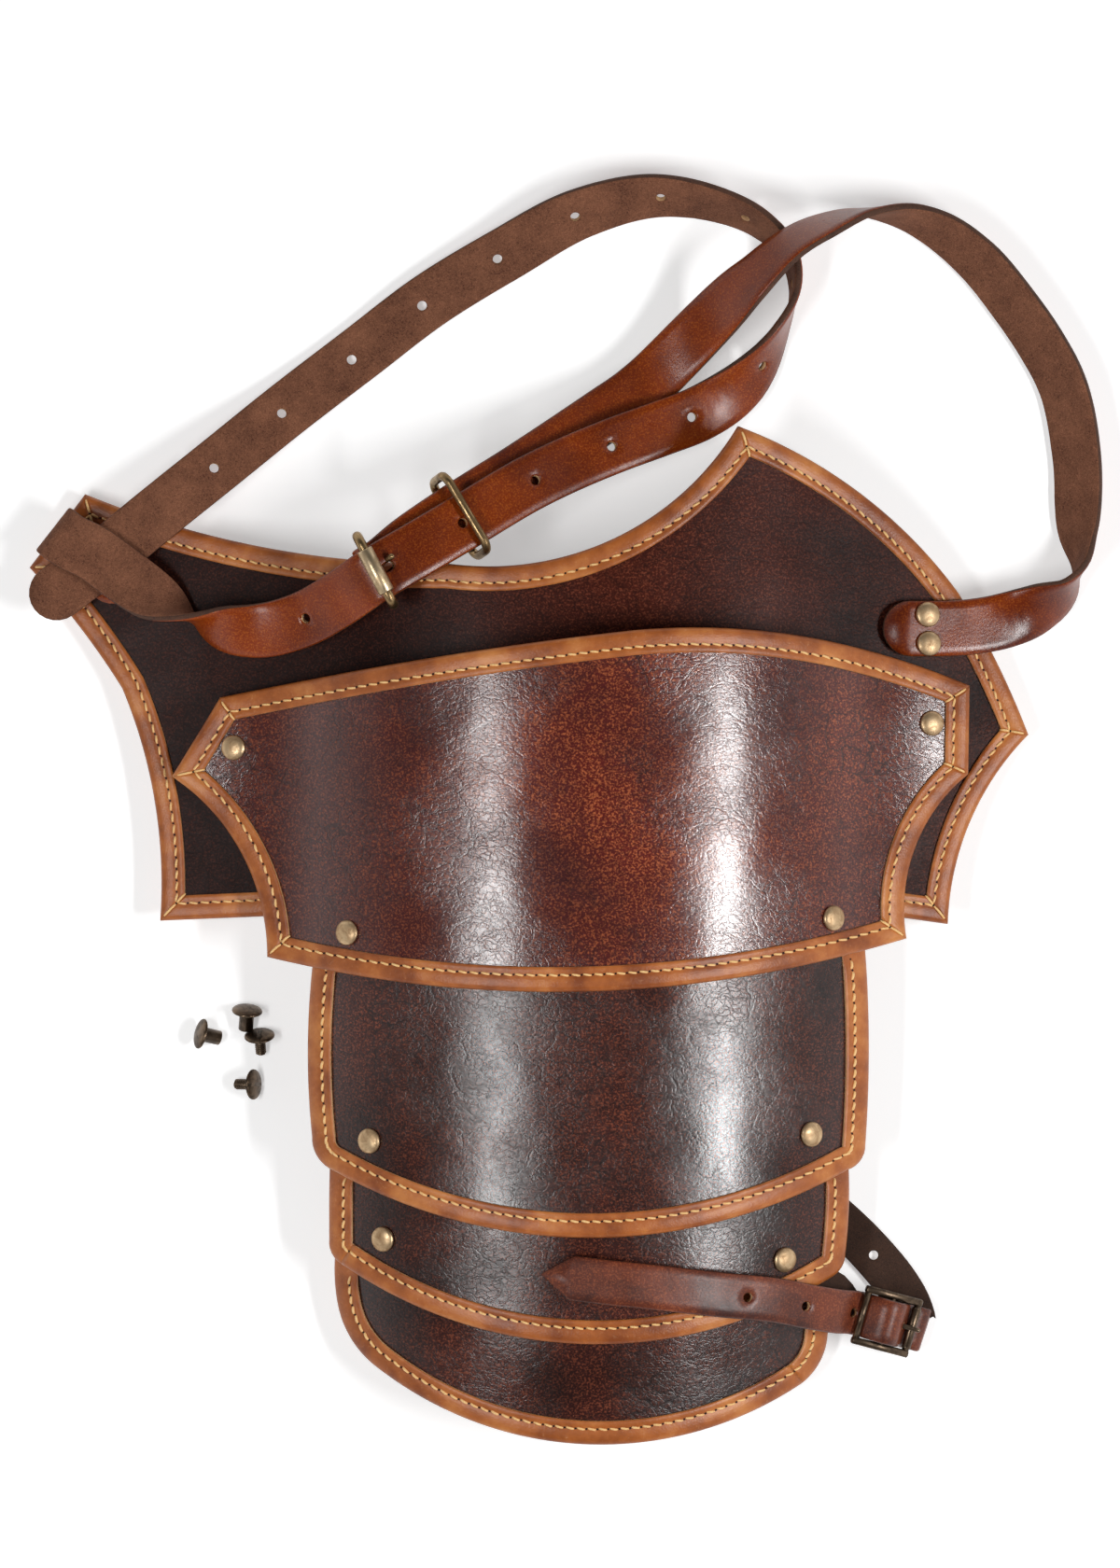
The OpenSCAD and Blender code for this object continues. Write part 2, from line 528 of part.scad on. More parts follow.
// Closed ring of round wire in the YZ plane, its lower bar on the Y axis
module wire_ring(len, rise, d, r) {
  for (z = [0, rise]) translate([0, 0, z]) rotate([90, 0, 0]) cylinder(h = len - 2 * r, d = d, center = true);
  for (y = [-len / 2, len / 2]) translate([0, y, r]) cylinder(h = rise - 2 * r, d = d);
  for (m = [0, 1]) for (n = [0, 1])
    translate([0, 0, rise / 2]) mirror([0, m, 0]) mirror([0, 0, n])
      translate([0, len / 2 - r, rise / 2 - r]) rotate([0, 90, 0]) rotate([0, 0, 90])
        rotate_extrude(angle = 90) translate([r, 0]) circle(d = d);
}
module chest_buckle_frame() {
  color(brass) at_heel() wire_ring(wire_len, wire_rise, wire_d, corner_r);
}
module chest_buckle_roller() {
  color(brass)
    at_heel() translate([0, -0.5, wire_rise])
      rotate([90, 0, 0])
        difference() {
          cylinder(h = roller_len, d = roller_d, center = true);
          cylinder(h = roller_len + 1, d = wire_d + 2 * roller_gap, center = true);
        }
}
module chest_buckle_tongue() {
  eye_d = wire_d + 2 * roller_gap;
  color(brass)
    at_heel() translate([0, tongue_off, 0])
      difference() {
        union() {
          rotate([90, 0, 0]) cylinder(h = 3.2, d = eye_d + 2.6, center = true);
          rotate([0, 90 - tongue_lean, 0]) cylinder(h = tongue_reach, d = tongue_d);
          rotate([0, 90 - tongue_lean, 0]) translate([0, 0, tongue_reach]) sphere(d = tongue_d);
        }
        rotate([90, 0, 0]) cylinder(h = 5, d = eye_d, center = true);
      }
}
keeper_place = [-35.8, 103.4, top_z(plate, -35.8, 103.4) - 1.94];
keeper_slope = 21;
keeper_az = 121;
keeper_len = 30.7;
keeper_rise = 15.5;
module strap_keeper() {
  color(brass)
    translate(keeper_place) rotate([0, 0, keeper_az - 90]) rotate([0, keeper_slope, 0])
      translate([0, 0, -keeper_rise / 2]) wire_ring(keeper_len, keeper_rise, keeper_d, corner_r);
}

module arm_strap() {
  color(strap_leather)
    difference() {
      ribbon(arm_line, arm_w, arm_t, true);
      strap_holes(arm_line, [for (k = [1:3]) arm_tongue_run + k * arm_hole_pitch], arm_hole_d);
      strap_holes(arm_line, [arm_tongue_run - 2 * arm_hole_pitch], arm_hole_d);
      arm_tongue_way(arm_hole_d + 0.4);
      rivet_hole(third, [cuff_rivets[0]], binding_gap);
    }
}
module arm_buckle_strap() {
  color(strap_leather)
    difference() {
      ribbon(arm_buckle_line, arm_w - 1, arm_buckle_t);
      at_arm_buckle() translate([-4, -2, -6]) cube([10, 4, 12]);
      rivet_hole(third, [cuff_rivets[1]], binding_gap);
    }
}
module at_arm_buckle() translate(arm_centre) rotate([0, arm_tilt, arm_az]) children();
arm_tongue_run = nearest_run(arm_line, place(in_arm_buckle([5.5, 0.5], 0)));
arm_frame_w = 19;
arm_tongue_lean = 18.5;
arm_tongue_reach = 12.5;
module arm_tongue_way(d) {
  at_arm_buckle() rotate([0, 90 - arm_tongue_lean, 0]) cylinder(h = 30, d = d, $fn = 24);
}
// Square frame of three bars with the strap wound over the middle one
module arm_buckle_frame() {
  color(bronze)
    at_arm_buckle() {
      for (x = [-arm_half, 0, arm_half])
        translate([x, 0, 0]) rotate([90, 0, 0]) cylinder(h = arm_frame_w, d = arm_bar, center = true);
      for (y = [-arm_frame_w / 2, arm_frame_w / 2])
        translate([-arm_half - arm_bar / 2, y - arm_bar / 2, -arm_bar / 2])
          cube([2 * arm_half + arm_bar, arm_bar, arm_bar]);
    }
}
arm_roller_d = 3.8;
module arm_buckle_roller() {
  color(bronze)
    at_arm_buckle() translate([arm_half, 0, 0]) rotate([90, 0, 0])
      difference() {
        cylinder(h = 15, d = arm_roller_d, center = true);
        cylinder(h = 16, d = arm_bar + 2 * roller_gap, center = true);
      }
}
module arm_buckle_tongue() {
  eye_d = arm_bar + 2 * roller_gap;
  color(bronze)
    at_arm_buckle()
      difference() {
        union() {
          rotate([90, 0, 0]) cylinder(h = 2.6, d = eye_d + 1.8, center = true);
          rotate([0, 90 - arm_tongue_lean, 0]) cylinder(h = arm_tongue_reach, d = 2);
          rotate([0, 90 - arm_tongue_lean, 0]) translate([0, 0, arm_tongue_reach]) sphere(d = 2);
        }
        rotate([90, 0, 0]) cylinder(h = 4, d = eye_d, center = true);
      }
}

// Spare screw posts and screws, each lying on its head's rim and its shank's end
module domed_head(r, len) {
  rotate_extrude()
    polygon(concat([[0, -len], [r, -len], [r, 0], [head_d / 2, 0]], dome_curve(head_d, 0.4, head_h)));
}
module lying(p, heading, len, d) {
  lean = atan((head_d - d) / 2 / len);
  translate([p.x, p.y, head_d / 2 * cos(lean)])
    rotate([0, 0, heading])
      rotate([0, -90 + lean, 0])
        children();
}
module post() {
  difference() {
    domed_head(post_d / 2, post_len);
    translate([0, 0, -post_len - 1]) cylinder(h = post_len, d = shank_d + 0.2);
  }
}
module screw() {
  difference() {
    domed_head(shank_d / 2, post_len);
    translate([-head_d, -0.6, head_h - 1]) cube([2 * head_d, 1.2, 2]);
  }
}
module spare_posts() {
  color(bronze) {
    lying([-129.3, -82], -14, post_len, post_d) post();
    lying([-113, -74], -95, post_len, post_d) post();
  }
}
module spare_screws() {
  color(bronze) {
    lying([-108.5, -83], -86, post_len, shank_d) screw();
    lying([-111, -100.2], 180, post_len, shank_d) screw();
  }
}
module strap_rivet_caps() for (p = strap_rivets) cap_at(strap_face, p, strap_grip);
module strap_rivet_feet() for (p = strap_rivets) foot_at(strap_face, p, strap_grip);
module long_strap_rivet_caps() for (p = long_strap_rivets) cap_at(long_face, p, long_grip, low_cap_h);
module long_strap_rivet_feet() for (p = long_strap_rivets) foot_at(long_face, p, long_grip);
strap_rise = strap_t + 2;
long_rise = strap_t + 2.05;
low_cap_h = 0.75;
strap_face = [8, 25, plate_crest + strap_rise, plate_r, 75, plate_flare_r, 0];
long_face = [8, 25, plate_crest + long_rise, plate_r, 75, plate_flare_r, 0];
strap_grip = panel_t + strap_rise + 2 * foot_gap;
long_grip = panel_t + long_rise + 2 * foot_gap;

shoulder_plate();
shoulder_binding();
upper_lame();
upper_lame_binding();
second_lame();
second_lame_binding();
third_lame();
third_lame_binding();
cuff_lame();
cuff_lame_binding();
shoulder_rivet_caps();
shoulder_rivet_feet();
second_rivet_caps();
second_rivet_feet();
third_rivet_caps();
third_rivet_feet();
cuff_rivet_caps();
cuff_rivet_feet();
strap_rivet_caps();
strap_rivet_feet();
long_strap_rivet_caps();
long_strap_rivet_feet();
buckle_strap();
long_strap();
chest_buckle_frame();
chest_buckle_roller();
chest_buckle_tongue();
strap_keeper();
arm_strap();
arm_buckle_strap();
arm_buckle_frame();
arm_buckle_roller();
arm_buckle_tongue();
spare_posts();
spare_screws();
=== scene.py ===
import math
from collections import namedtuple
import bmesh
import bpy
from mathutils import Matrix, Vector, noise
from mathutils.geometry import delaunay_2d_cdt


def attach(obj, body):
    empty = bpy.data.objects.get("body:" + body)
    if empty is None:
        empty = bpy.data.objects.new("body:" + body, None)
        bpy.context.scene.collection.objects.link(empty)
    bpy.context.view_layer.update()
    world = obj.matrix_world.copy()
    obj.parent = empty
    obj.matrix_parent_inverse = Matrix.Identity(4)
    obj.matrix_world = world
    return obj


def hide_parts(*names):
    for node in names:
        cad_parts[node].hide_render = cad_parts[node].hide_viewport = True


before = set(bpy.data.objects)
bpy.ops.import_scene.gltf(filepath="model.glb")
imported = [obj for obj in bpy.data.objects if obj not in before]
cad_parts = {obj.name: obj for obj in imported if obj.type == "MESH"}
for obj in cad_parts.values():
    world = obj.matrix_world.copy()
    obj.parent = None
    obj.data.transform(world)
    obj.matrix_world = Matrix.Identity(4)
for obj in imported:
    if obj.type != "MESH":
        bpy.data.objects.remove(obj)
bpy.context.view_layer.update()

# Table and light
# The armour lies on a white table and is seen from straight above, through a long lens.
# Two soft boxes stand left and right of it, so each arch shows two long highlights.
MM = 0.001
EYE_HEIGHT = 3.0
CREST_HEIGHT = 0.03
PICTURE_HEIGHT = 0.560
FILM_MM = 24.0
BOX_SIZE = (0.14, 0.54)
BOX_Y = -0.23
BOX_HEIGHT = 1.05
camera_data = bpy.data.cameras.new("overhead_camera")
camera_data.sensor_fit = "VERTICAL"
camera_data.sensor_height = FILM_MM
camera_data.lens = FILM_MM * (EYE_HEIGHT - CREST_HEIGHT) / PICTURE_HEIGHT
camera = bpy.data.objects.new("overhead_camera", camera_data)
camera.location = (-0.0003, 0.008, EYE_HEIGHT)
bpy.context.scene.collection.objects.link(camera)
bpy.context.scene.camera = camera
bpy.context.scene.view_settings.view_transform = "Standard"


def linear(hex_text):
    """An sRGB hex colour as linear red, green, blue and alpha."""
    parts = [int(hex_text[i:i + 2], 16) / 255 for i in (1, 3, 5)]
    return [p / 12.92 if p <= 0.04045 else ((p + 0.055) / 1.055) ** 2.4 for p in parts] + [1.0]


def add(tree, kind, settings=None, **links):
    """Adds a node. Settings go to its sockets, by name or number, or to its own fields.
    Links join other nodes' outputs, and a whole node stands for its first output."""
    node = tree.nodes.new("ShaderNode" + kind)
    for name, value in (settings or {}).items():
        if isinstance(name, int) or name in node.inputs:
            node.inputs[name].default_value = value
        else:
            setattr(node, name, value)
    for name, source in links.items():
        key = int(name[1:]) if name[1:].isdigit() else name.replace("_", " ")
        tree.links.new(source.outputs[0] if hasattr(source, "outputs") else source, node.inputs[key])
    return node


def blank_material(name):
    material = bpy.data.materials.new(name)
    material.use_nodes = True
    material.node_tree.nodes.clear()
    return material, material.node_tree


def seen_rays(tree):
    """1 for a ray that shows the background: from the camera, in a reflection or through glass."""
    ray = add(tree, "LightPath").outputs
    either = {"operation": "MAXIMUM"}
    direct = add(tree, "Math", either, i0=ray["Is Camera Ray"], i1=ray["Is Transmission Ray"])
    return add(tree, "Math", either, i0=direct, i1=ray["Is Glossy Ray"])


# The room is white low down, where the paper sweeps up, and dim above the camera.
world = bpy.data.worlds.new("white_room")
bpy.context.scene.world = world
world.use_nodes = True
room = world.node_tree
room.nodes.clear()
height = add(room, "SeparateXYZ", Vector=add(room, "TexCoord").outputs["Generated"])
dusk = add(room, "MapRange", {"From Min": 0.2, "From Max": 0.62, "To Min": 1.0, "To Max": 0.07},
           Value=height.outputs["Z"])
power = add(room, "MapRange", {"To Min": 0.6, "To Max": 1.0}, Value=seen_rays(room))
level = add(room, "Math", {"operation": "MULTIPLY"}, i0=dusk, i1=power)
sky = add(room, "Background", {"Color": linear("#FFFFFF")}, Strength=level)
add(room, "OutputWorld", Surface=sky)

for name, x, watts in (("left_soft_box", -0.5, 5.4), ("right_soft_box", 0.86, 10.2)):
    lamp = bpy.data.lights.new(name, "AREA")
    lamp.shape = "RECTANGLE"
    lamp.size, lamp.size_y = BOX_SIZE
    lamp.energy = watts
    holder = bpy.data.objects.new(name, lamp)
    holder.location = (x, BOX_Y, BOX_HEIGHT)
    holder.rotation_euler = (0, math.atan2(x, 1.0), 0)
    bpy.context.scene.collection.objects.link(holder)

table_paper, tree = blank_material("white_paper")
paper = add(tree, "BsdfDiffuse", {"Color": linear("#F4F4F4")})
glow = add(tree, "MapRange", {"To Max": 0.42}, Value=seen_rays(tree))
lift = add(tree, "Emission", {"Color": linear("#FFFFFF")}, Strength=glow)
both = add(tree, "AddShader", i0=paper, i1=lift)
add(tree, "OutputMaterial", Surface=both)
bpy.ops.mesh.primitive_plane_add(size=6, location=(0, 0, -0.0004))
table = bpy.context.object
table.name = "white_table"
table.data.materials.append(table_paper)

# Shoulder plate and lames
# Five panels of vegetable-tanned leather, 3 mm thick, wet-moulded to arches and dyed
# nearly black over red, then finished to a gloss that still shows the pores and creases.
PANEL_T = 3.0
LAME_GAP = 2.3
STEP_DOWN = PANEL_T + LAME_GAP
# An arched sheet: the arch's middle, the hinge's y, the crest's height, the radius and half width of
# its arc, the radius of the flare on each side of that, and its pitch in degrees.
Arch = namedtuple("Arch", "x y crest r half flare pitch")


def flare_sin(arch, u):
    return arch.half / arch.r - (abs(u) - arch.half) / arch.flare


def arch_drop(arch, u):
    """Fall of an arched sheet below its crest, u mm from its middle."""
    r, half = arch.r, arch.half
    if abs(u) <= half:
        return r - math.sqrt(r * r - u * u)
    return (r - math.sqrt(r * r - half * half)
            + arch.flare * (math.sqrt(1 - flare_sin(arch, u) ** 2) - math.sqrt(1 - (half / r) ** 2)))


def arch_slope(arch, u):
    """Slope of the sheet across its arch, in radians."""
    return math.copysign(math.asin(abs(u) / arch.r if abs(u) <= arch.half else flare_sin(arch, u)), u)


def top_z(arch, x, y):
    """Height of the sheet's top face over a plan point."""
    drop = arch_drop(arch, x - arch.x)
    tilt = math.radians(arch.pitch)
    return (arch.crest + (y - arch.y - drop * math.sin(tilt)) / math.cos(tilt) * math.sin(tilt)
            - drop * math.cos(tilt))


PLATE = Arch(8, 25, 47.6, 200, 75, 400, 0)
UPPER = Arch(8, 25, 0, 155, 95, 95, 0)
# The upper lame clears the plate at its left rivet, where the two are closest.
UPPER = UPPER._replace(crest=(top_z(PLATE, -117.7, 21) + LAME_GAP + 1 + PANEL_T * 1.05
                              + arch_drop(UPPER, -125.7)))
# Each lame below lies a step under the last one, where that one's pitch has brought it.
SECOND = Arch(9, -44, UPPER.crest - STEP_DOWN, 150, 120, 500, 3)
THIRD = Arch(9, -118, SECOND.crest - STEP_DOWN - 73.5 * math.tan(math.radians(3)), 145, 120, 500, 6)
CUFF = Arch(8, -158, THIRD.crest - STEP_DOWN - 40 * math.tan(math.radians(6)), 133, 120, 500, 10)

# Each panel: its arch, its outline as corners and the middle of each curved side,
# and the height in plan above which its edge is hidden and has no binding.
PANELS = {
    "shoulder": (PLATE, [((-171, 111), (-108, 92)), ((-40, 85.3), (22, 95.5)), ((64, 134), (107, 111)),
                         ((142, 76), (156, 51)), ((167, 26), (148, -1)), ((138, -41), None),
                         ((117, -38), (9, 4)), ((-99, -38), None), ((-143, -40), (-147.5, 14)),
                         ((-157, 43), (-170, 62)), ((-190, 86), None)], 300),
    "upper_lame": (UPPER, [((-121.5, 38), (-36, 53)), ((25, 61), (88, 59)), ((145.5, 42.5), None),
                           ((145, 12), (126, -14)), ((122.5, -46.5), (14, -63.8)),
                           ((-104, -53), (-110, -23.5)), ((-138, 11), None)], 300),
    "second_lame": (SECOND, [((-85, -38), None), ((106, -33), (109, -73)), ((108, -121), (106.6, -125.9)),
                             ((102, -129), (17, -151.3)), ((-81, -129), (-86.3, -124.6)),
                             ((-88, -118), (-89.5, -86))], -46),
    "third_lame": (THIRD, [((-81, -108), None), ((100, -108), (102.3, -142)), ((101, -160), (99.8, -164.8)),
                           ((96, -168), (17, -189.8)), ((-78, -163), (-81.3, -159.6)),
                           ((-82, -155), (-82, -143))], -124),
    "cuff_lame": (CUFF, [((-77, -146), None), ((94, -146), (97, -168)), ((95, -190), (92.4, -199.3)),
                         ((86, -206.5), (14, -226.6)), ((-66, -200), (-74.3, -191.2)),
                         ((-79, -180), (-80.3, -163))], -160),
}


def on_sheet(arch, x, y, rise):
    """The point a given rise above an arched sheet's top face, in millimetres."""
    here = Vector((x, y, top_z(arch, x, y)))
    across = Vector((0.2, 0, top_z(arch, x + 0.1, y) - top_z(arch, x - 0.1, y)))
    along = Vector((0, 0.2, top_z(arch, x, y + 0.1) - top_z(arch, x, y - 0.1)))
    return here + across.cross(along).normalized() * rise


def side_points(a, m, b, step):
    """One side of an outline, straight or on the circle through three points."""
    a, b = Vector(a), Vector(b)
    if m is None:
        n = max(1, round((b - a).length / step))
        return [a.lerp(b, i / n) for i in range(n + 1)]
    m = Vector(m)
    d = 2 * (a.x * (m.y - b.y) + m.x * (b.y - a.y) + b.x * (a.y - m.y))
    aa, mm, bb = a.dot(a), m.dot(m), b.dot(b)
    c = Vector(((aa * (m.y - b.y) + mm * (b.y - a.y) + bb * (a.y - m.y)) / d,
                (aa * (b.x - m.x) + mm * (a.x - b.x) + bb * (m.x - a.x)) / d))
    r = (a - c).length
    angles = [math.atan2(p.y - c.y, p.x - c.x) for p in (a, m, b)]
    turn = [(angles[i + 1] - angles[i] + math.pi) % (2 * math.pi) - math.pi for i in (0, 1)]
    n = max(2, round(r * abs(sum(turn)) / step))
    sweep = [angles[0] + sum(turn) * i / n for i in range(n + 1)]
    return [c + r * Vector((math.cos(angle), math.sin(angle))) for angle in sweep]


def outline_sides(path, step):
    return [side_points(path[i][0], path[i][1], path[(i + 1) % len(path)][0], step) for i in range(len(path))]


def smooth_object(name, verts, faces, materials, slots=None):
    """Makes a smooth-shaded object from points in millimetres."""
    mesh = bpy.data.meshes.new(name)
    mesh.from_pydata([Vector(v) * MM for v in verts], [], faces)
    for m in materials:
        mesh.materials.append(m)
    if slots:
        mesh.polygons.foreach_set("material_index", slots)
    mesh.polygons.foreach_set("use_smooth", [True] * len(mesh.polygons))
    mesh.update()
    bm = bmesh.new()
    bm.from_mesh(mesh)
    bmesh.ops.recalc_face_normals(bm, faces=bm.faces)
    bm.to_mesh(mesh)
    bm.free()
    obj = bpy.data.objects.new(name, mesh)
    bpy.context.scene.collection.objects.link(obj)
    return obj


def cut_hide(rims, inner):
    """Cuts a flat pattern from hide along its outer rim, given first, and the rims of its holes.
    Gives its points and its triangles."""
    points, edges = [], []
    for rim in rims:
        base = len(points)
        points += rim
        edges += [(base + i, base + (i + 1) % len(rim)) for i in range(len(rim))]
    flat, _, faces = delaunay_2d_cdt(points + inner, edges, [], 1, 1e-5)[:3]
    triangles = []
    for face in faces:
        middle = sum((flat[i] for i in face), Vector((0, 0))) / 3
        if not any(in_outline(rim, middle) for rim in rims[1:]):
            triangles.append(tuple(face))
    return flat, triangles


def in_outline(rim, p):
    inside = False
    for a, b in zip(rim, rim[1:] + rim[:1]):
        if (a.y > p.y) != (b.y > p.y) and p.x < a.x + (p.y - a.y) / (b.y - a.y) * (b.x - a.x):
            inside = not inside
    return inside


def hide_solid(points, triangles, grain, middle, flesh, edge_slot=lambda p: 2):
    """Gives a flat pattern its grain side, its flesh side and a rounded cut edge."""
    used = sorted({i for face in triangles for i in face})
    place = {i: k for k, i in enumerate(used)}
    n = len(used)
    directed = {(f[k], f[(k + 1) % 3]) for f in triangles for k in range(3)}
    rim = [(a, b) for a, b in directed if (b, a) not in directed]
    on_rim = {a for a, _ in rim} | {b for _, b in rim}
    verts = [grain(points[i], i in on_rim) for i in used] + [flesh(points[i], i in on_rim) for i in used]
    middles = {}
    for i in sorted(on_rim):
        middles[i] = len(verts)
        verts.append(middle(points[i]))
    faces = [tuple(place[i] for i in f) for f in triangles]
    faces += [tuple(n + place[i] for i in reversed(f)) for f in triangles]
    slots = [0] * len(triangles) + [1] * len(triangles)
    for a, b in sorted(rim):
        faces.append((place[b], place[a], middles[a], middles[b]))
        faces.append((middles[b], middles[a], n + place[a], n + place[b]))
        slots += [edge_slot(points[a])] * 2
    return verts, faces, slots


def grain_leather(name, ground, glow, fleck, patch_mm, pore_mm, glow_range, lightened, crease, rough, shine):
    """Dyed grain leather. Dark dye pools in soft patches, and the grain's tops show the red under it
    as fine flecks. The red and its flecks show most within a patch and fade away from it; the patch is
    given as its centre, its reach and the least share outside it. On the shoulder plate that patch lies
    on the right flank, which faces the right soft box, and is painted sheen. Creases part the hide into
    small plates, and with the pores they make its relief; their lines are also painted darker, as
    painted shade in the creases."""
    material, tree = blank_material(name)
    place = add(tree, "TexCoord").outputs["Object"]
    cloud = add(tree, "TexNoise", {"Scale": 1000 / patch_mm, "Detail": 4.0, "Roughness": 0.55,
                                   "Distortion": 0.3}, Vector=place)
    warm = add(tree, "MapRange", {"From Min": glow_range[0], "From Max": glow_range[1]}, Value=cloud)
    # The hide is lighter and redder within a patch round a given point; on the shoulder plate this patch is
    # painted sheen.
    patch_centre, reach, least = lightened
    away = add(tree, "VectorMath", {"operation": "DISTANCE", 1: patch_centre}, i0=place)
    patch_share = add(tree, "MapRange", {"From Min": reach, "From Max": reach * 0.2, "To Min": least,
                                    "interpolation_type": "SMOOTHSTEP"}, Value=away.outputs["Value"])
    warmth = add(tree, "Math", {"operation": "MULTIPLY"}, i0=warm, i1=patch_share)
    dye = add(tree, "Mix", {"data_type": "RGBA", 6: linear(ground), 7: linear(glow)}, Factor=warmth)
    # The real flecks are half as wide. They are drawn this coarse, as finer ones would be lost
    # between the picture's pixels.
    speck = add(tree, "TexNoise", {"Scale": 1200 / pore_mm, "Detail": 2.0, "Roughness": 0.6}, Vector=place)
    shown = add(tree, "MapRange", {"From Min": 0.48, "From Max": 0.68}, Value=speck)
    amount = add(tree, "MapRange", {"To Min": 0.22}, Value=warmth)
    share = add(tree, "Math", {"operation": "MULTIPLY"}, i0=shown, i1=amount)
    flecked = add(tree, "Mix", {"data_type": "RGBA", 7: linear(fleck)}, Factor=share, i6=dye.outputs[2])
    # The plates are about two pores wide and longer across the arm, with wandering edges, and
    # deeper folds run between groups of them.
    drift = add(tree, "TexNoise", {"Scale": 1000 / (pore_mm * 5), "Detail": 5.0}, Vector=place)
    pushed = add(tree, "VectorMath", {"operation": "MULTIPLY_ADD", 1: [pore_mm * 0.006] * 3},
                 i0=drift.outputs["Color"], i2=place)
    stretch = add(tree, "Mapping", {"Scale": (0.55, 1.2, 1.0)}, Vector=pushed)
    plates = add(tree, "TexVoronoi", {"Scale": 1000 / (pore_mm * 2.4), "feature": "DISTANCE_TO_EDGE"},
                 Vector=stretch)
    edge = add(tree, "MapRange", {"From Max": 0.1, "To Min": 0.75, "To Max": 0.0}, Value=plates)
    groups = add(tree, "TexVoronoi", {"Scale": 1000 / (pore_mm * 10), "feature": "DISTANCE_TO_EDGE"},
                 Vector=stretch)
    fold = add(tree, "MapRange", {"From Max": 0.05, "To Min": 1.0, "To Max": 0.0}, Value=groups)
    line = add(tree, "Math", {"operation": "MAXIMUM"}, i0=edge, i1=fold)
    gather = add(tree, "TexNoise", {"Scale": 1000 / (patch_mm * 0.8), "Detail": 5.0, "Roughness": 0.6},
                 Vector=place)
    where = add(tree, "MapRange", {"From Min": 0.4, "From Max": 0.66, "To Min": crease * 0.28,
                                   "To Max": crease}, Value=gather)
    creased = add(tree, "Math", {"operation": "MULTIPLY"}, i0=line, i1=where)
    # Crease lines are painted darker than the hide around them: painted shade in the creases.
    crease_shade_colour = [c * 0.35 for c in linear(ground)[:3]] + [1.0]
    colour = add(tree, "Mix", {"data_type": "RGBA", 7: crease_shade_colour}, Factor=creased, i6=flecked.outputs[2])
    pebble = add(tree, "TexNoise", {"Scale": 700 / pore_mm, "Detail": 3.0, "Roughness": 0.6}, Vector=place)
    skin_height = add(tree, "Math", {"operation": "MULTIPLY_ADD", 1: -1.1}, i0=creased, i2=pebble)
    relief = add(tree, "Bump", {"Strength": 0.26, "Distance": 0.0002}, Height=skin_height)
    gloss = add(tree, "MapRange", {"From Min": 0.35, "From Max": 0.65, "To Min": rough - 0.04,
                                   "To Max": rough + 0.08}, Value=gather)
    body = add(tree, "BsdfPrincipled", {"IOR": 1.5, "Specular IOR Level": shine},
               Base_Color=colour.outputs[2], Roughness=gloss, Normal=relief)
    add(tree, "OutputMaterial", Surface=body)
    return material


def fibrous_leather(name, dark, light, fibre_mm, rough):
    """The flesh side or a cut edge: bare fibres with no grain, dull, with paler scuffs."""
    material, tree = blank_material(name)
    place = add(tree, "TexCoord").outputs["Object"]
    mottle = add(tree, "TexNoise", {"Scale": 1000 / (fibre_mm * 22), "Detail": 9.0, "Roughness": 0.7},
                 Vector=place)
    fibre = add(tree, "TexNoise", {"Scale": 1000 / fibre_mm, "Detail": 4.0, "Roughness": 0.8,
                                   "Distortion": 1.2}, Vector=place)
    blend = add(tree, "Math", {"operation": "MULTIPLY_ADD", 1: 0.5}, i0=mottle, i2=fibre)
    tone = add(tree, "MapRange", {"From Min": 0.58, "From Max": 0.94}, Value=blend)
    colour = add(tree, "Mix", {"data_type": "RGBA", 6: linear(dark), 7: linear(light)}, Factor=tone)
    nap = add(tree, "Bump", {"Strength": 0.6, "Distance": 0.0003}, Height=fibre)
    body = add(tree, "BsdfPrincipled", {"IOR": 1.45, "Roughness": rough},
               Base_Color=colour.outputs[2], Normal=nap)
    add(tree, "OutputMaterial", Surface=body)
    return material


# The shoulder plate's lighter red patch round (90, 80, 40) mm lies on the right flank, which faces the right
# soft box: painted sheen.
plate_hide = grain_leather("dull_dyed_leather", "#200F0D", "#45190F", "#7A3E2A", 70, 0.9, (0.36, 0.66),
                           ((0.09, 0.08, 0.04), 0.2, 0.1), 0.6, 0.36, 0.1)
dyed_hide = grain_leather("dyed_bridle_leather", "#1F0D0B", "#421913", "#8F4C34", 48, 0.9, (0.36, 0.72),
                          ((0.02, -0.13, 0.05), 0.2, 0.5), 1.0, 0.24, 0.6)
red_hide = grain_leather("red_dyed_bridle_leather", "#401B1B", "#682018", "#CC7042", 60, 0.9, (0.3, 0.64),
                         ((0.032, 0.022, 0.07), 0.12, 0.25), 1.0, 0.2, 0.75)
flesh_side = fibrous_leather("hide_flesh_side", "#2B1A12", "#5A3B29", 0.7, 0.85)
cut_edge = fibrous_leather("hide_cut_edge", "#20130D", "#4A2F20", 0.5, 0.7)
# Spacing of a panel's points along its outline and inside it, and the width kept free between.
PANEL_STEP = 2.5
PANEL_GRID = 3.4
RIM_FREE = 2


def panel_inner(rim):
    """Rows of points inside an outline, in a triangular grid kept off its rim."""
    xs, ys = [p.x for p in rim], [p.y for p in rim]
    inner = []
    row = PANEL_GRID * 0.87
    for j in range(int((max(ys) - min(ys)) / row) + 1):
        y = min(ys) + (j + 0.5) * row
        crossings = sorted(a.x + (y - a.y) / (b.y - a.y) * (b.x - a.x)
                           for a, b in zip(rim, rim[1:] + rim[:1]) if (a.y > y) != (b.y > y))
        for left, right in zip(crossings[::2], crossings[1::2]):
            free = right - left - 2 * RIM_FREE
            n = int(free / PANEL_GRID)
            inner += [Vector((left + RIM_FREE + free * (i + 0.5 * (j % 2)) / max(n, 1), y))
                      for i in range(n)]
    return inner


def wave(p, seed, length):
    """A smooth random wave of about this length over a flat pattern, in shares of its height."""
    return noise.noise(Vector((p.x, p.y, seed)) / length)


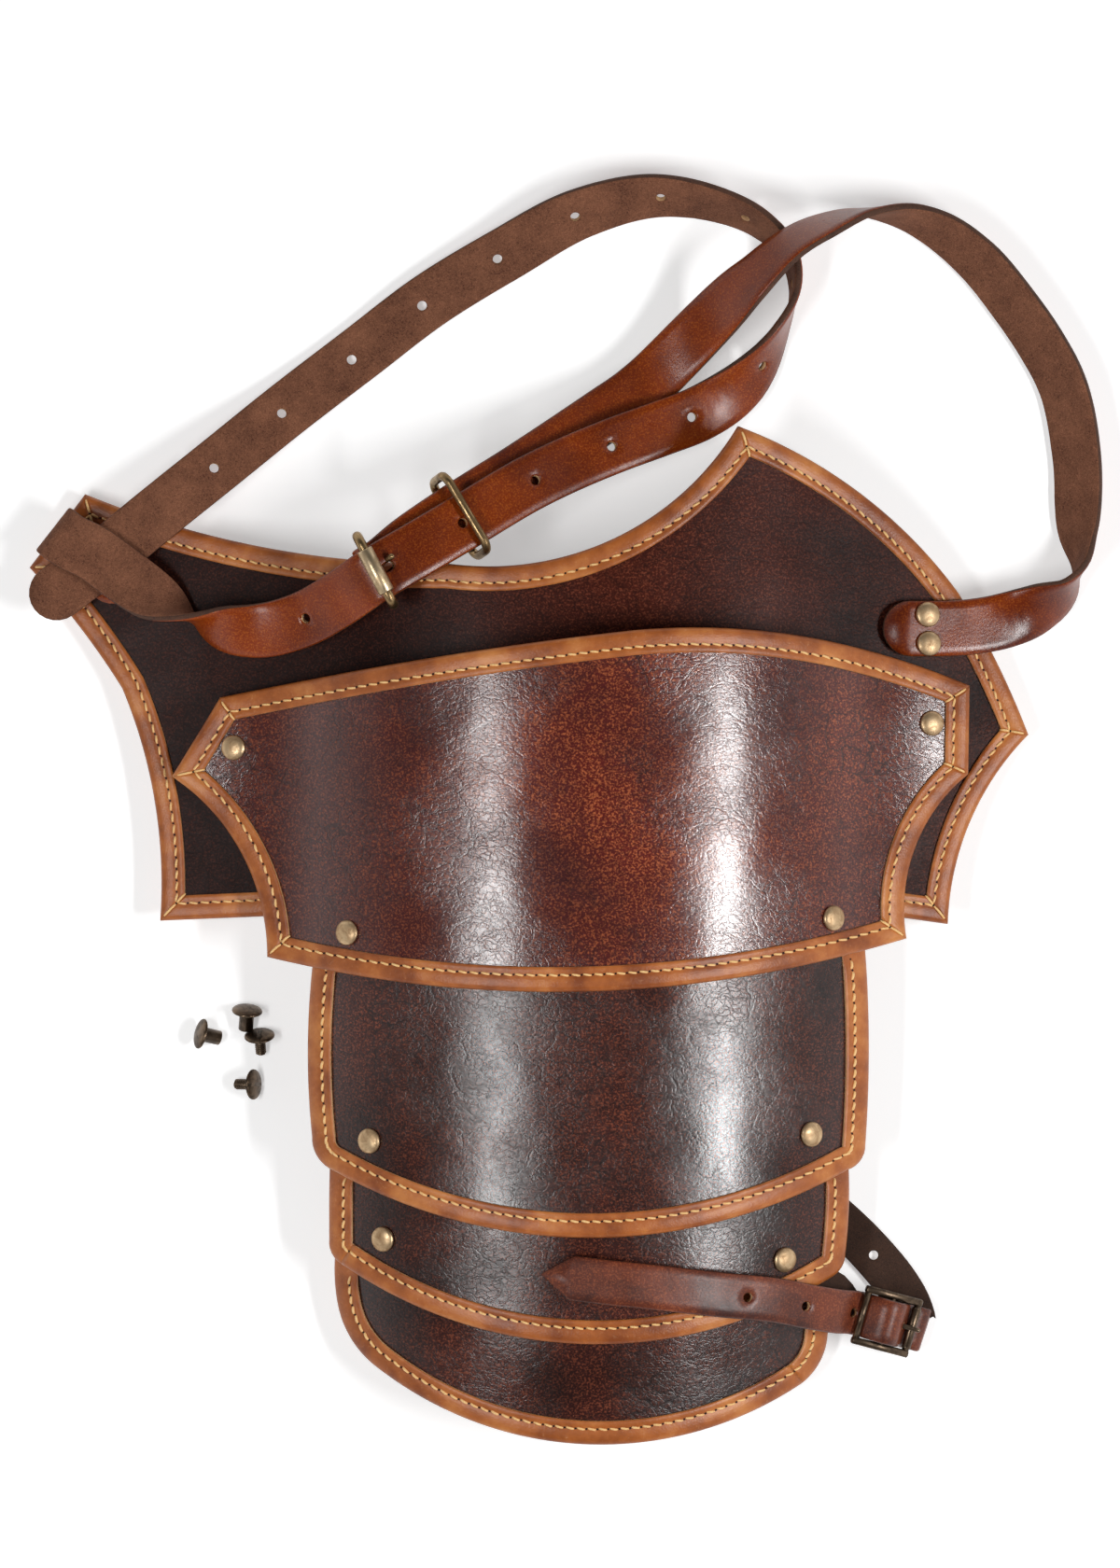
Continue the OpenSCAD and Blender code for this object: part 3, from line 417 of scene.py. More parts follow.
for body, (arch, path, cut) in PANELS.items():
    rim = [p for side in outline_sides(path, PANEL_STEP) for p in side[:-1]]
    points, triangles = cut_hide([rim], panel_inner(rim))

    def grain(p, on_rim):
        dents = 0.16 * wave(p, 3, 17) + 0.03 * wave(p, 9, 6)
        return on_sheet(arch, p.x, p.y, dents - (0.4 if on_rim else 0.15))

    def flesh(p, on_rim):
        return on_sheet(arch, p.x, p.y, 0.1 * wave(p, 7, 6) + 0.1 - PANEL_T)

    def middle(p):
        return on_sheet(arch, p.x, p.y, -PANEL_T / 2)

    verts, faces, slots = hide_solid(points, triangles, grain, middle, flesh)
    hide = {"shoulder": plate_hide, "upper_lame": red_hide}.get(body, dyed_hide)
    panel = smooth_object(body + "_hide", verts, faces, [hide, flesh_side, cut_edge], slots)
    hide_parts({"shoulder": "shoulder_plate"}.get(body, body))
    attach(panel, body)

# Sewn edge binding
# Strips of natural tan leather, 1 mm thick, folded over every edge that shows and sewn
# through by hand in waxed golden thread, with slanted stitches that meet at the mitres.
STITCH_INSET = 4.8
STITCH_PITCH = 4.0
STITCH_HALF = 1.62
STITCH_SLANT = math.radians(11)
THREAD_R = 0.38
AWL_R = 0.4
# The strip is one piece round a bend that turns less than this.
MITRE_TURN = math.radians(28)
# The strip's section: inset from the panel's edge, and rise above its grain side. It starts at the
# strip's edge in front, goes over the fold and back behind, and returns along the hide.
BINDING_PROFILE = [
    (7.7, 0.04), (7.66, 0.75), (7.4, 0.98), (6.6, 1.08), (5.7, 1.02), (5.1, 0.84), (4.5, 0.84), (3.9, 1.04),
    (2.9, 1.15), (1.9, 1.15), (0.7, 1.1), (-0.3, 0.8), (-0.95, 0.1), (-1.14, -0.8), (-1.14, -2.2),
    (-0.95, -3.1), (-0.3, -3.8), (0.7, -4.1), (1.9, -4.15), (2.9, -4.15), (3.9, -4.04), (4.5, -3.84),
    (5.1, -3.84), (5.7, -4.02), (6.6, -4.08), (7.4, -3.98), (7.66, -3.75), (7.7, -3.04), (3.0, -3.04),
    (0.1, -3.0), (0.05, -1.5), (0.1, 0.0), (3.0, 0.04)]
# The faces of that section that are raw cut edge.
CUT_FACES = (0, 26, 27)
# Where a lame runs in under the next, its strip is thinned from this far out, and its last
# stretch has no stitches in front.
SKIVE = 12
UNSEWN = 7
# Spacing of the strip's sections, and how near two strips' ends must lie to be one strip.
STRIP_STEP = 1.6
SAME_PLACE = 0.05


def tan_leather(name):
    """Undyed leather that has darkened with handling: soft clouds 18 mm across, rubbed paler in
    specks of 1.4 mm, with pores 0.7 mm apart."""
    material, tree = blank_material(name)
    place = add(tree, "TexCoord").outputs["Object"]
    cloud = add(tree, "TexNoise", {"Scale": 1000 / 18.2, "Detail": 5.0, "Roughness": 0.6}, Vector=place)
    ramp = add(tree, "ValToRGB", Fac=cloud)
    dark, light = ramp.color_ramp.elements
    dark.position, dark.color = 0.34, linear("#834016")
    light.position, light.color = 0.7, linear("#CC8243")
    ramp.color_ramp.elements.new(0.52).color = linear("#AD6029")
    rub = add(tree, "TexNoise", {"Scale": 1000 / 1.43, "Detail": 5.0, "Roughness": 0.75}, Vector=place)
    share = add(tree, "MapRange", {"From Min": 0.58, "From Max": 0.8, "To Max": 0.5}, Value=rub)
    lightened = add(tree, "Mix", {"data_type": "RGBA", 7: linear("#DBA67A")}, Factor=share, i6=ramp)
    pores = add(tree, "TexVoronoi", {"Scale": 1000 / 0.714}, Vector=place)
    relief = add(tree, "Bump", {"Strength": 0.25, "Distance": 0.0002}, Height=pores)
    body = add(tree, "BsdfPrincipled", {"IOR": 1.48, "Roughness": 0.4},
               Base_Color=lightened.outputs[2], Normal=relief)
    add(tree, "OutputMaterial", Surface=body)
    return material


def waxed_thread_material(name):
    """Golden linen thread, waxed. Its ply is too fine for the picture and is drawn 0.67 mm coarse."""
    material, tree = blank_material(name)
    place = add(tree, "TexCoord").outputs["Object"]
    ply = add(tree, "TexNoise", {"Scale": 1000 / 0.667, "Detail": 3.0}, Vector=place)
    colour = add(tree, "Mix", {"data_type": "RGBA", 6: linear("#E9A850"), 7: linear("#FFE0A8")}, Factor=ply)
    relief = add(tree, "Bump", {"Strength": 0.5, "Distance": 0.0002}, Height=ply)
    body = add(tree, "BsdfPrincipled", {"IOR": 1.5, "Roughness": 0.5},
               Base_Color=colour.outputs[2], Normal=relief)
    add(tree, "OutputMaterial", Surface=body)
    return material


tan_strip = tan_leather("natural_tan_leather")
waxed_thread = waxed_thread_material("waxed_linen_thread")
tan_cut = fibrous_leather("tan_cut_edge", "#A9703F", "#E2B888", 0.5, 0.7)
awl_hole = fibrous_leather("awl_hole_shadow", "#1C0D06", "#3A1E10", 0.4, 0.9)


class EdgeSide:
    """One side of a panel's edge, which can be walked at any inset between its two mitres."""

    def __init__(self, points, hand, turn_in, turn_out):
        self.points = points
        self.hand = hand
        self.run = [0.0]
        for a, b in zip(points, points[1:]):
            self.run.append(self.run[-1] + (b - a).length)
        self.lead = math.tan(turn_in / 2)
        self.tail = math.tan(turn_out / 2)
        self.mitred = abs(turn_in) > MITRE_TURN

    def at(self, u, inset):
        """The plan point at share u of the side at an inset, and the direction along it."""
        start, end = inset * self.lead, self.run[-1] - inset * self.tail
        s = start + (end - start) * u
        i = 0
        while i < len(self.points) - 2 and self.run[i + 1] < s:
            i += 1
        a, b = self.points[i], self.points[i + 1]
        along = (b - a).normalized()
        share = (s - self.run[i]) / (self.run[i + 1] - self.run[i])
        before = (a - self.points[i - 1]).normalized() if i > 0 else along
        after = (self.points[i + 2] - b).normalized() if i + 2 < len(self.points) else along
        t = min(max(share, 0.0), 1.0)
        bend = ((before + along).lerp(along + after, t)).normalized()
        inward = Vector((-bend.y, bend.x)) * self.hand
        return a.lerp(b, share) + inward * inset, bend


def edge_sides(path, cut):
    sides = outline_sides(path, 1.5)
    ring = [p for s in sides for p in s[:-1]]
    area = sum(a.x * b.y - b.x * a.y for a, b in zip(ring, ring[1:] + ring[:1]))
    hand = 1 if area > 0 else -1
    out = []
    for i, points in enumerate(sides):
        before, after = sides[i - 1], sides[(i + 1) % len(sides)]
        bends = []
        for p, q in ((before[-1] - before[-2], points[1] - points[0]),
                     (points[-1] - points[-2], after[1] - after[0])):
            bends.append(hand * math.atan2(p.x * q.y - p.y * q.x, p.dot(q)))
        kept = [p for p in points if p.y < cut]
        if len(kept) > 2:
            cut_start, cut_end = kept[0] != points[0], kept[-1] != points[-1]
            out.append(EdgeSide(kept, hand, 0 if cut_start else bends[0], 0 if cut_end else bends[1]))
    return out


def skived(y, cut):
    """The share of its thickness that a strip keeps where it runs in under the lame above."""
    return 1 - 0.75 * min(max((y - cut + SKIVE) / 3, 0.0), 1.0)


def binding_ring(arch, side, u, cut):
    """The strip's cross section at share u of a side."""
    ring = []
    for inset, rise in BINDING_PROFILE:
        p, _ = side.at(u, inset)
        thin = skived(p.y, cut)
        if rise > 0:
            rise *= thin
        elif rise < -PANEL_T:
            rise = (rise + PANEL_T) * thin - PANEL_T
        ripple = 0.08 * noise.noise(Vector((p.x, p.y, rise)) / 4) if rise > 0.5 or rise < -3.5 else 0
        ring.append(on_sheet(arch, p.x, p.y, rise + ripple))
    return ring


def skin(rings, loop=False):
    """The skin over a run of rings of points, closed at both ends or run round as a loop."""
    k = len(rings[0])
    total = k * len(rings)
    faces = []
    for i in range(len(rings) - (0 if loop else 1)):
        for j in range(k):
            a, b = i * k + j, i * k + (j + 1) % k
            faces.append((a, b, (b + k) % total, (a + k) % total))
    if not loop:
        faces += [tuple(range(k)), tuple(range(total - 1, total - k - 1, -1))]
    return [point for ring in rings for point in ring], faces


def joined(parts):
    """One mesh from several (points, faces)."""
    verts, faces = [], []
    for v, f in parts:
        faces += [tuple(i + len(verts) for i in face) for face in f]
        verts += v
    return verts, faces


def turns(n):
    """The angles of n points round a circle."""
    return [2 * math.pi * q / n for q in range(n)]


def binding_mesh(arch, sides, cut):
    """The folded strips. One strip goes round a smooth bend, and a new one starts at each mitre."""
    strips = []
    for side in sides:
        n = max(2, round(side.run[-1] / STRIP_STEP))
        rings = [binding_ring(arch, side, i / n, cut) for i in range(n + 1)]
        if strips and not side.mitred and (rings[0][0] - strips[-1][-1][0]).length < SAME_PLACE:
            strips[-1] += rings[1:]
        else:
            strips.append(rings)
    first, last = strips[0][0][0], strips[-1][-1][0]
    if len(strips) > 1 and not sides[0].mitred and (first - last).length < SAME_PLACE:
        strips[0] = strips.pop() + strips[0][1:]
    slots = []
    for rings in strips:
        slots += [int(j in CUT_FACES) for _ in rings[1:] for j in range(len(BINDING_PROFILE))] + [1, 1]
    return *joined([skin(rings) for rings in strips]), slots


def stitch(arch, cut, a, b, sign, lift=0.25):
    """A stitch between two plan points. It rises from one hole, lies flat and dips into the next."""
    way = (b - a).normalized()
    across = Vector((-way.y, way.x)) * THREAD_R
    seat = 0.85 if sign > 0 else 0.55
    rings = []
    for share, rise, thick in ((0, -0.5, 0.7), (0.1, 0.0, 0.95), (0.32, lift, 1.15), (0.68, lift, 1.15),
                               (0.9, 0.0, 0.95), (1, -0.5, 0.7)):
        rings.append([])
        for turn in turns(7):
            spot = a.lerp(b, share) + across * thick * math.cos(turn)
            top = seat * skived(spot.y, cut) + rise + THREAD_R * thick * math.sin(turn)
            rings[-1].append(on_sheet(arch, spot.x, spot.y, top if sign > 0 else -PANEL_T - top))
    return skin(rings)


def awl_hole_shade(arch, cut, p, sign):
    """A disc of painted shadow in the mouth of an awl hole, a hair above the strip."""
    top = 0.94 * skived(p.y, cut)
    spots = [p + Vector((math.cos(turn), math.sin(turn))) * AWL_R for turn in turns(10)]
    rise = top if sign > 0 else -PANEL_T - top
    return [on_sheet(arch, spot.x, spot.y, rise) for spot in spots], [tuple(range(10))]


def sew(arch, sides, cut, mitres):
    """All stitches of a panel's seam, and the painted shadows in its awl holes, on its grain side (1) and its
    flesh side (-1).
    """
    threads, hole_shades = [], []
    for side in sides:
        free = side.run[-1] - STITCH_INSET * (side.lead + side.tail)
        n = max(1, round(free / STITCH_PITCH))
        for sign in (1, -1):
            lean = STITCH_SLANT * sign * side.hand
            for i in range(n):
                p, along = side.at((i + 0.5) / n, STITCH_INSET)
                if sign > 0 and p.y > cut - UNSEWN:
                    continue
                way = Vector((along.x * math.cos(lean) - along.y * math.sin(lean),
                              along.x * math.sin(lean) + along.y * math.cos(lean))) * STITCH_HALF
                threads.append(stitch(arch, cut, p - way, p + way, sign))
                hole_shades.append(awl_hole_shade(arch, cut, side.at(i / n, STITCH_INSET)[0], sign))
            # At a mitre, stitches run from the seam's corner out over the edge and in to the hide.
            if mitres and side.mitred:
                corner = side.at(0, STITCH_INSET)[0]
                for inset in (0.2, 7.9):
                    threads.append(stitch(arch, cut, corner, side.at(0, inset)[0], sign, 0.5))
    return threads, hole_shades


for body, (arch, path, cut) in PANELS.items():
    sides = edge_sides(path, cut)
    verts, faces, slots = binding_mesh(arch, sides, cut)
    strip = smooth_object(body + "_edge_strip", verts, faces, [tan_strip, tan_cut], slots)
    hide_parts(body + "_binding")
    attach(strip, body)
    threads, hole_shades = sew(arch, sides, cut, body in ("shoulder", "upper_lame"))
    verts, faces = joined(threads + hole_shades)
    slots = [0] * (len(faces) - len(hole_shades)) + [1] * len(hole_shades)
    sewing = smooth_object(body + "_stitching", verts, faces, [waxed_thread, awl_hole], slots)
    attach(sewing, body)

# Lame rivets
# Domed caps of antiqued brass hold each lame to the one above, and its tube is flared
# into a flat foot behind. They turn, so the lames can fold up with the shoulder.
CAP_D = 9.0
CAP_H = 2.2
PIN_D = 1.8
PIN_LEN = 4.0
RIVETS = {
    "shoulder_rivet": (UPPER, "upper_lame", [(-117.1, 21), (132.7, 29.7)]),
    "second_rivet": (UPPER, "upper_lame", [(-75.7, -44.8), (96.7, -39.7)]),
    "third_rivet": (SECOND, "second_lame", [(-68, -119), (89, -116.7)]),
    "cuff_rivet": (THIRD, "third_lame", [(-63.3, -154.3), (79.7, -161.7)]),
}


def aged_metal(name, bright, dull, rough, wear_mm):
    """Metal that was darkened and then handled: a patchy brown film over the bright metal, and
    faint dents about 1 mm across."""
    material, tree = blank_material(name)
    place = add(tree, "TexCoord").outputs["Object"]
    film = add(tree, "TexNoise", {"Scale": 1000 / wear_mm, "Detail": 6.0, "Roughness": 0.7,
                                  "Distortion": 0.5}, Vector=place)
    share = add(tree, "MapRange", {"From Min": 0.4, "From Max": 0.68}, Value=film)
    colour = add(tree, "Mix", {"data_type": "RGBA", 6: linear(bright), 7: linear(dull)}, Factor=share)
    dents = add(tree, "TexNoise", {"Scale": 1000 / 1.11, "Detail": 3.0}, Vector=place)
    relief = add(tree, "Bump", {"Strength": 0.05, "Distance": 0.0002}, Height=dents)
    gloss = add(tree, "MapRange", {"To Min": rough - 0.08, "To Max": rough + 0.16}, Value=share)
    body = add(tree, "BsdfPrincipled", {"Metallic": 1.0}, Base_Color=colour.outputs[2], Roughness=gloss,
               Normal=relief)
    add(tree, "OutputMaterial", Surface=body)
    return material


rivet_brass = aged_metal("antiqued_rivet_brass", "#CBAF8A", "#9A7C5C", 0.47, 3.5)


def lathe(profile, n=40):
    """Turns a profile of (radius, height) points round the z axis, closed where a radius is 0."""
    verts, faces, rings = [], [], []
    for r, z in profile:
        spots = [Vector((r * math.cos(turn), r * math.sin(turn), z)) for turn in (turns(n) if r else [0])]
        rings.append(range(len(verts), len(verts) + len(spots)))
        verts += spots
    for low, high in zip(rings, rings[1:]):
        for q in range(n):
            corners = [ring[(q + k) % len(ring)] for ring, k in ((low, 0), (low, 1), (high, 1), (high, 0))]
            faces.append(tuple(v for k, v in enumerate(corners) if v != corners[k - 1]))
    return verts, faces


def moved(matrix, part):
    return [matrix @ v for v in part[0]], part[1]


def sheet_frame(arch, x, y):
    return (Matrix.Translation((x, y, top_z(arch, x, y))) @ Matrix.Rotation(math.radians(arch.pitch), 4, "X")
            @ Matrix.Rotation(arch_slope(arch, x - arch.x), 4, "Y"))


def rivet_cap(high, pin):
    """A cap with a rolled edge, a low dome and the pin that is driven into the tube."""
    r = CAP_D / 2
    rim = min(0.5, high / 2)
    dome = [(r * math.sin(math.pi / 2 * (1 - i / 9)), rim + (high - rim) * math.sin(math.pi / 2 * i / 9))
            for i in range(9)]
    p = PIN_D / 2
    base = [(0, -pin), (p - 0.2, -pin), (p, 0.2 - pin), (p, 0.0), (r - 0.25, 0.0), (r, 0.2)]
    return moved(Matrix.Translation((0, 0, 0.2)), lathe(base + dome + [(0, high)]))


def set_caps(name, face, body, high, places):
    """Sets a pair of caps on an arched face."""
    parts = [moved(sheet_frame(face, x, y), rivet_cap(high, PIN_LEN)) for x, y in places]
    caps = smooth_object(name + "_domes", *joined(parts), [rivet_brass])
    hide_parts(name + "_caps")
    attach(caps, body)


for name, (arch, body, places) in RIVETS.items():
    set_caps(name, arch, body, CAP_H, places)
for name in list(RIVETS) + ["strap_rivet", "long_strap_rivet"]:
    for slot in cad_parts[name + "_feet"].material_slots:
        slot.material = rivet_brass

# Chest straps
# Two belts of glossy orange-brown bridle leather, 20 mm wide, dyed right through, so the
# flesh side is a brown suede. One is punched all along. They lie in loops on the table.
STRAP_W = 20.0
STRAP_T = 2.8
STRAP_HOLE_R = 1.75
STRAP_HOLE_PITCH = 32.0
# Spacing of a strap's points across and along, and the widths of its worn edge and a hole's rim.
STRAP_GRID = 2.6
STRAP_STEP = 2.2
WORN_EDGE = 0.7
HOLE_RIM = 0.6


def over(arch, rows):
    """Rows of a strap's route over a sheet, whose third number is the rise above that sheet."""
    return [(x, y, top_z(arch, x, y) + rise, az, el) for x, y, rise, az, el in rows]


def fold_rows(centre, along, r, low, az, el, start, end):
    """Rows of a half turn round a level axis."""
    rows = []
    for i in range(5):
        angle = math.radians(start + (end - start) * i / 4)
        reach = r * math.cos(angle)
        rows.append((centre[0] + reach * math.cos(math.radians(along)),
                     centre[1] + reach * math.sin(math.radians(along)), low + r * math.sin(angle), az, el))
    return rows


# Rows: x, y, height of the lowest edge, direction of the width in plan, tilt of the width.
# A tilt of 0 shows the grain, 180 the flesh side.
LONG_FOLD = (-177.8, 96)
LONG_FOLD_R = 4.6
LONG_ROWS = (
    over(PLATE, [(-161, 82.7, 0.65, 52, 185), (-169, 89, 1.49, 52, 183)])
    + fold_rows(LONG_FOLD, 142, LONG_FOLD_R, top_z(PLATE, *LONG_FOLD) + 2.26 + LONG_FOLD_R, 52, 180, -90, 90)
    + over(PLATE, [
        (-168, 91, 10.37, 52, 180), (-157, 83, 8.86, 54, 176), (-145.3, 74.7, 5.51, 60, 150),
        (-132.7, 67.3, 2.2, 68, 92), (-122, 63.7, 2.74, 79, 45), (-108.7, 62.7, 4.24, 93, 20),
        (-93, 66.3, 7.48, 108, 8), (-79, 73.5, 14.23, 116, 2), (-65.8, 82.2, 19.21, 120, 0),
        (-50.3, 91.5, 9.79, 121, 0), (-35.7, 100.3, 0.43, 121, 0)])
    + [(-9.7, 116, 32.4, 119, 0), (19.3, 129.3, 20.8, 114, 0), (36.3, 135.7, 15.5, 112, 2),
       (50.3, 141.3, 10.6, 116, 8), (66.3, 152.3, 4, 132, 38), (79, 170.7, 0.5, 157, 78),
       (84.3, 187, 0.3, 180, 95), (81.3, 200, 0.3, 206, 104), (72.3, 209, 0.3, 228, 112),
       (53, 217.3, 0.3, 256, 122), (35.3, 219.7, 0.3, 270, 132), (7.7, 213.7, 0.3, 290, 148),
       (-20.3, 198.7, 0.3, 301, 166), (-47.3, 182.3, 0.3, 304, 174), (-72.3, 163.3, 0.3, 308, 178),
       (-97.7, 143.7, 3, 308, 180)]
    + over(PLATE, [(-124, 122, -4.48, 308, 180), (-145.3, 104.7, 3.41, 308, 180),
                   (-163.7, 89.7, 5.92, 307, 180), (-181, 76.7, 6.96, 306, 180)]))
HEEL = Vector((-65.7, 83.7, top_z(PLATE, -65.7, 83.7) + 13.27))
HEEL_WRAP_R = 3.4
BUCKLE_ROWS = (
    over(PLATE, [(125, 63.7, 1.73, 90, 0), (133, 63.7, 1.68, 90, 0), (146.3, 64.3, 1.68, 92, 0),
                 (158, 66.3, 0.89, 96, 3)])
    + [(171, 70.7, 6.5, 114, 30), (181.7, 76.7, 1.6, 140, 65), (186.7, 86, 0.3, 170, 96),
       (186.2, 98.7, 0.3, 181, 128), (185.7, 126, 0.3, 186, 143), (180, 153, 0.3, 200, 143),
       (172.3, 167.3, 0.3, 209, 143), (163, 180.7, 0.3, 217, 141), (149.7, 196.7, 0.3, 226, 137),
       (136, 207.3, 0.3, 240, 126), (122.3, 212.7, 1.5, 258, 107), (108.7, 213.3, 7, 277, 84),
       (95, 208.3, 15, 295, 66), (81.7, 200.7, 21.5, 304, 56), (68, 188.3, 21.5, 312, 42),
       (53, 173.7, 13.5, 315, 20), (40.7, 161.3, 9.5, 313, 8), (33, 153.7, 9, 312, 3),
       (26.3, 148, 9.8, 309, 0), (16.3, 141, 13.2, 305, 0), (6.3, 134, 18.2, 303, 0),
       (-13.7, 120.3, 28.5, 302, 0)]
    + over(PLATE, [(-37.7, 104.7, -3.41, 302, 0), (-53.7, 93.4, 7.46, 300, 0)])
    + fold_rows(HEEL, 208, HEEL_WRAP_R, HEEL.z - STRAP_T / 2, 298, 0, 90, -90)
    + over(PLATE, [(-53.7, 93.4, 3.86, 300, 0), (-37.7, 104.7, -7.21, 302, 0), (-26, 112.2, -14.69, 302, 0)]))


class StrapLine:
    """A strap's smooth middle line through its rows, and the directions of its width and its
    grain side. Between two rows it is a cubic that meets the next one without a kink."""

    def __init__(self, rows, width, thick, step=2.0):
        self.width, self.thick = width, thick
        p = []
        for x, y, low, az, el in rows:
            tilt = math.radians(el)
            lift = width / 2 * abs(math.sin(tilt)) + thick / 2 * abs(math.cos(tilt))
            p.append(Vector((x, y, low + lift, az, el)))
        gap = [(b.to_3d() - a.to_3d()).length for a, b in zip(p, p[1:])]
        last = len(p) - 1
        way = []
        for i in range(last + 1):
            if i in (0, last):
                k = max(i - 1, 0)
                way.append((p[k + 1] - p[k]) / gap[k])
            else:
                before, after = (p[i] - p[i - 1]) / gap[i - 1], (p[i + 1] - p[i]) / gap[i]
                way.append((before * gap[i] + after * gap[i - 1]) / (gap[i - 1] + gap[i]))
        q = []
        for i in range(last):
            n = max(2, math.ceil(gap[i] / step))
            for k in range(n):
                s = k / n
                q.append(p[i] * (2 * s ** 3 - 3 * s * s + 1) + way[i] * gap[i] * (s ** 3 - 2 * s * s + s)
                         + p[i + 1] * (3 * s * s - 2 * s ** 3) + way[i + 1] * gap[i] * (s ** 3 - s * s))
        q.append(p[last])
        self.middle = [a.to_3d() for a in q]
        self.run = [0.0]
        for a, b in zip(self.middle, self.middle[1:]):
            self.run.append(self.run[-1] + (b - a).length)
        self.along, self.across = [], []
        for i, a in enumerate(q):
            along = (self.middle[min(i + 1, len(q) - 1)] - self.middle[max(i - 1, 0)]).normalized()
            az, el = math.radians(a[3]), math.radians(a[4])
            raw = Vector((math.cos(el) * math.cos(az), math.cos(el) * math.sin(az), math.sin(el)))
            self.along.append(along)
            self.across.append((raw - along * raw.dot(along)).normalized())
        self.length = self.run[-1]
        self.near = 0

    def at(self, s, v, lift):
        """The point s mm along, v mm off the middle and lift mm out on the grain side."""
        i = self.near
        while i > 0 and self.run[i] > s:
            i -= 1
        while i < len(self.run) - 2 and self.run[i + 1] < s:
            i += 1
        self.near = i
        share = (s - self.run[i]) / (self.run[i + 1] - self.run[i])
        t = min(max(share, 0.0), 1.0)
        across = self.across[i].lerp(self.across[i + 1], t).normalized()
        along = self.along[i].lerp(self.along[i + 1], t).normalized()
        past = s - self.run[i] - t * (self.run[i + 1] - self.run[i])
        middle = self.middle[i].lerp(self.middle[i + 1], t) + along * past
        return middle + across * v + along.cross(across) * lift

    def nearest(self, point):
        return min(zip(self.run, self.middle), key=lambda pair: (pair[1] - point).length)[0]


def strap_rim(length, width, pointed):
    """The outline of a flat strap: a round end at its start, and a round or pointed one at its tip."""
    r = width / 2
    n = max(2, round(length / 2.5))
    low = [Vector((length * i / n, -r)) for i in range(n + 1)]
    high = [Vector((length * (1 - i / n), r)) for i in range(n + 1)]
    half_circle = [math.pi * (k / 12 - 0.5) for k in range(1, 12)]
    if pointed:
        reach = 1.4 * r
        tip = [Vector((length + reach * k, -r * (1 - k))) for k in (0.3, 0.6, 0.85)]
        tip += [Vector((length + reach, 0))] + [Vector((p.x, -p.y)) for p in reversed(tip)]
    else:
        tip = [Vector((length + r * math.cos(a), r * math.sin(a))) for a in half_circle]
    return low + tip + high + [Vector((-r * math.cos(a), -r * math.sin(a))) for a in half_circle]


def round_hole(s, r, stretch=0.0):
    """A punched hole, or an oblong one made of two holes and the cut between them."""
    return [Vector((s + r * math.cos(a) + math.copysign(stretch, math.cos(a)), r * math.sin(a)))
            for a in turns(16)]


def hole_near(hole, p, clear=1.2):
    xs, ys = [q.x for q in hole], [q.y for q in hole]
    return min(xs) - clear < p.x < max(xs) + clear and min(ys) - clear < p.y < max(ys) + clear


def strap_mesh(line, holes, pointed=False):
    """A strap cut flat, punched, and then laid along its line. Its edges and hole rims are rounded."""
    width, thick = line.width, line.thick
    rim = strap_rim(line.length, width, pointed)
    rows = max(3, round(width / STRAP_GRID))
    reach = width / 2 - WORN_EDGE
    inner = []
    n = round(line.length / STRAP_STEP)
    for i in range(n + 1):
        for k in range(rows):
            # Every other row is a hair off, so that no four points lie on one circle.
            p = Vector((line.length * i / n, reach * (2 * k / (rows - 1) - 1) + 1e-4 * (i % 2)))
            if not any(hole_near(hole, p) for hole in holes):
                inner.append(p)
    for hole in holes:
        centre = sum(hole, Vector((0, 0))) / len(hole)
        inner += [p + (p - centre).normalized() * HOLE_RIM for p in hole]
    points, triangles = cut_hide([rim] + holes, inner)

    def grain(p, on_rim):
        rise = thick / 2 + 0.07 * wave(p, 1, 6) - (0.5 if on_rim else 0)
        return line.at(p.x, p.y * (0.985 if on_rim else 1), rise)

    def flesh(p, on_rim):
        rise = 0.07 * wave(p, 5, 4) - thick / 2 + (0.3 if on_rim else 0)
        return line.at(p.x, p.y * (0.985 if on_rim else 1), rise)

    def middle(p):
        return line.at(p.x, p.y, -0.1)

    def edge_slot(p):
        return 3 if any(hole_near(hole, p) for hole in holes) else 2

    return hide_solid(points, triangles, grain, middle, flesh, edge_slot)


strap_grain = grain_leather("chest_strap_grain", "#4C1405", "#8E3608", "#B05A1C", 40, 0.7, (0.3, 0.66),
                            ((0.0, 0.12, 0.04), 0.4, 0.8), 0.12, 0.28, 0.4)
strap_flesh = fibrous_leather("chest_strap_flesh", "#4B2717", "#9A6549", 0.6, 0.9)
strap_edge = fibrous_leather("chest_strap_edge", "#2C160D", "#66402B", 0.5, 0.7)
punched_rim = fibrous_leather("punched_raw_leather", "#A87848", "#E0BC90", 0.4, 0.8)

PLAIN_END = 60
LONE_HOLE = 40
CREW_R = 2.3
CREW_STRETCH = 14
long_line = StrapLine(LONG_ROWS, STRAP_W, STRAP_T)
buckle_line = StrapLine(BUCKLE_ROWS, STRAP_W, STRAP_T)
tongue_run = long_line.nearest(HEEL + Vector((4, 3, STRAP_T + HEEL_WRAP_R)))
# The tongue has drawn its hole a little long. One hole shows on its near side, the rest beyond it.
long_holes = [round_hole(tongue_run, STRAP_HOLE_R, 0.5),
              round_hole(tongue_run - LONE_HOLE, STRAP_HOLE_R)]
for k in range(1, 15):
    s = tongue_run + k * STRAP_HOLE_PITCH
    if s < long_line.length - PLAIN_END:
        long_holes.append(round_hole(s, STRAP_HOLE_R))
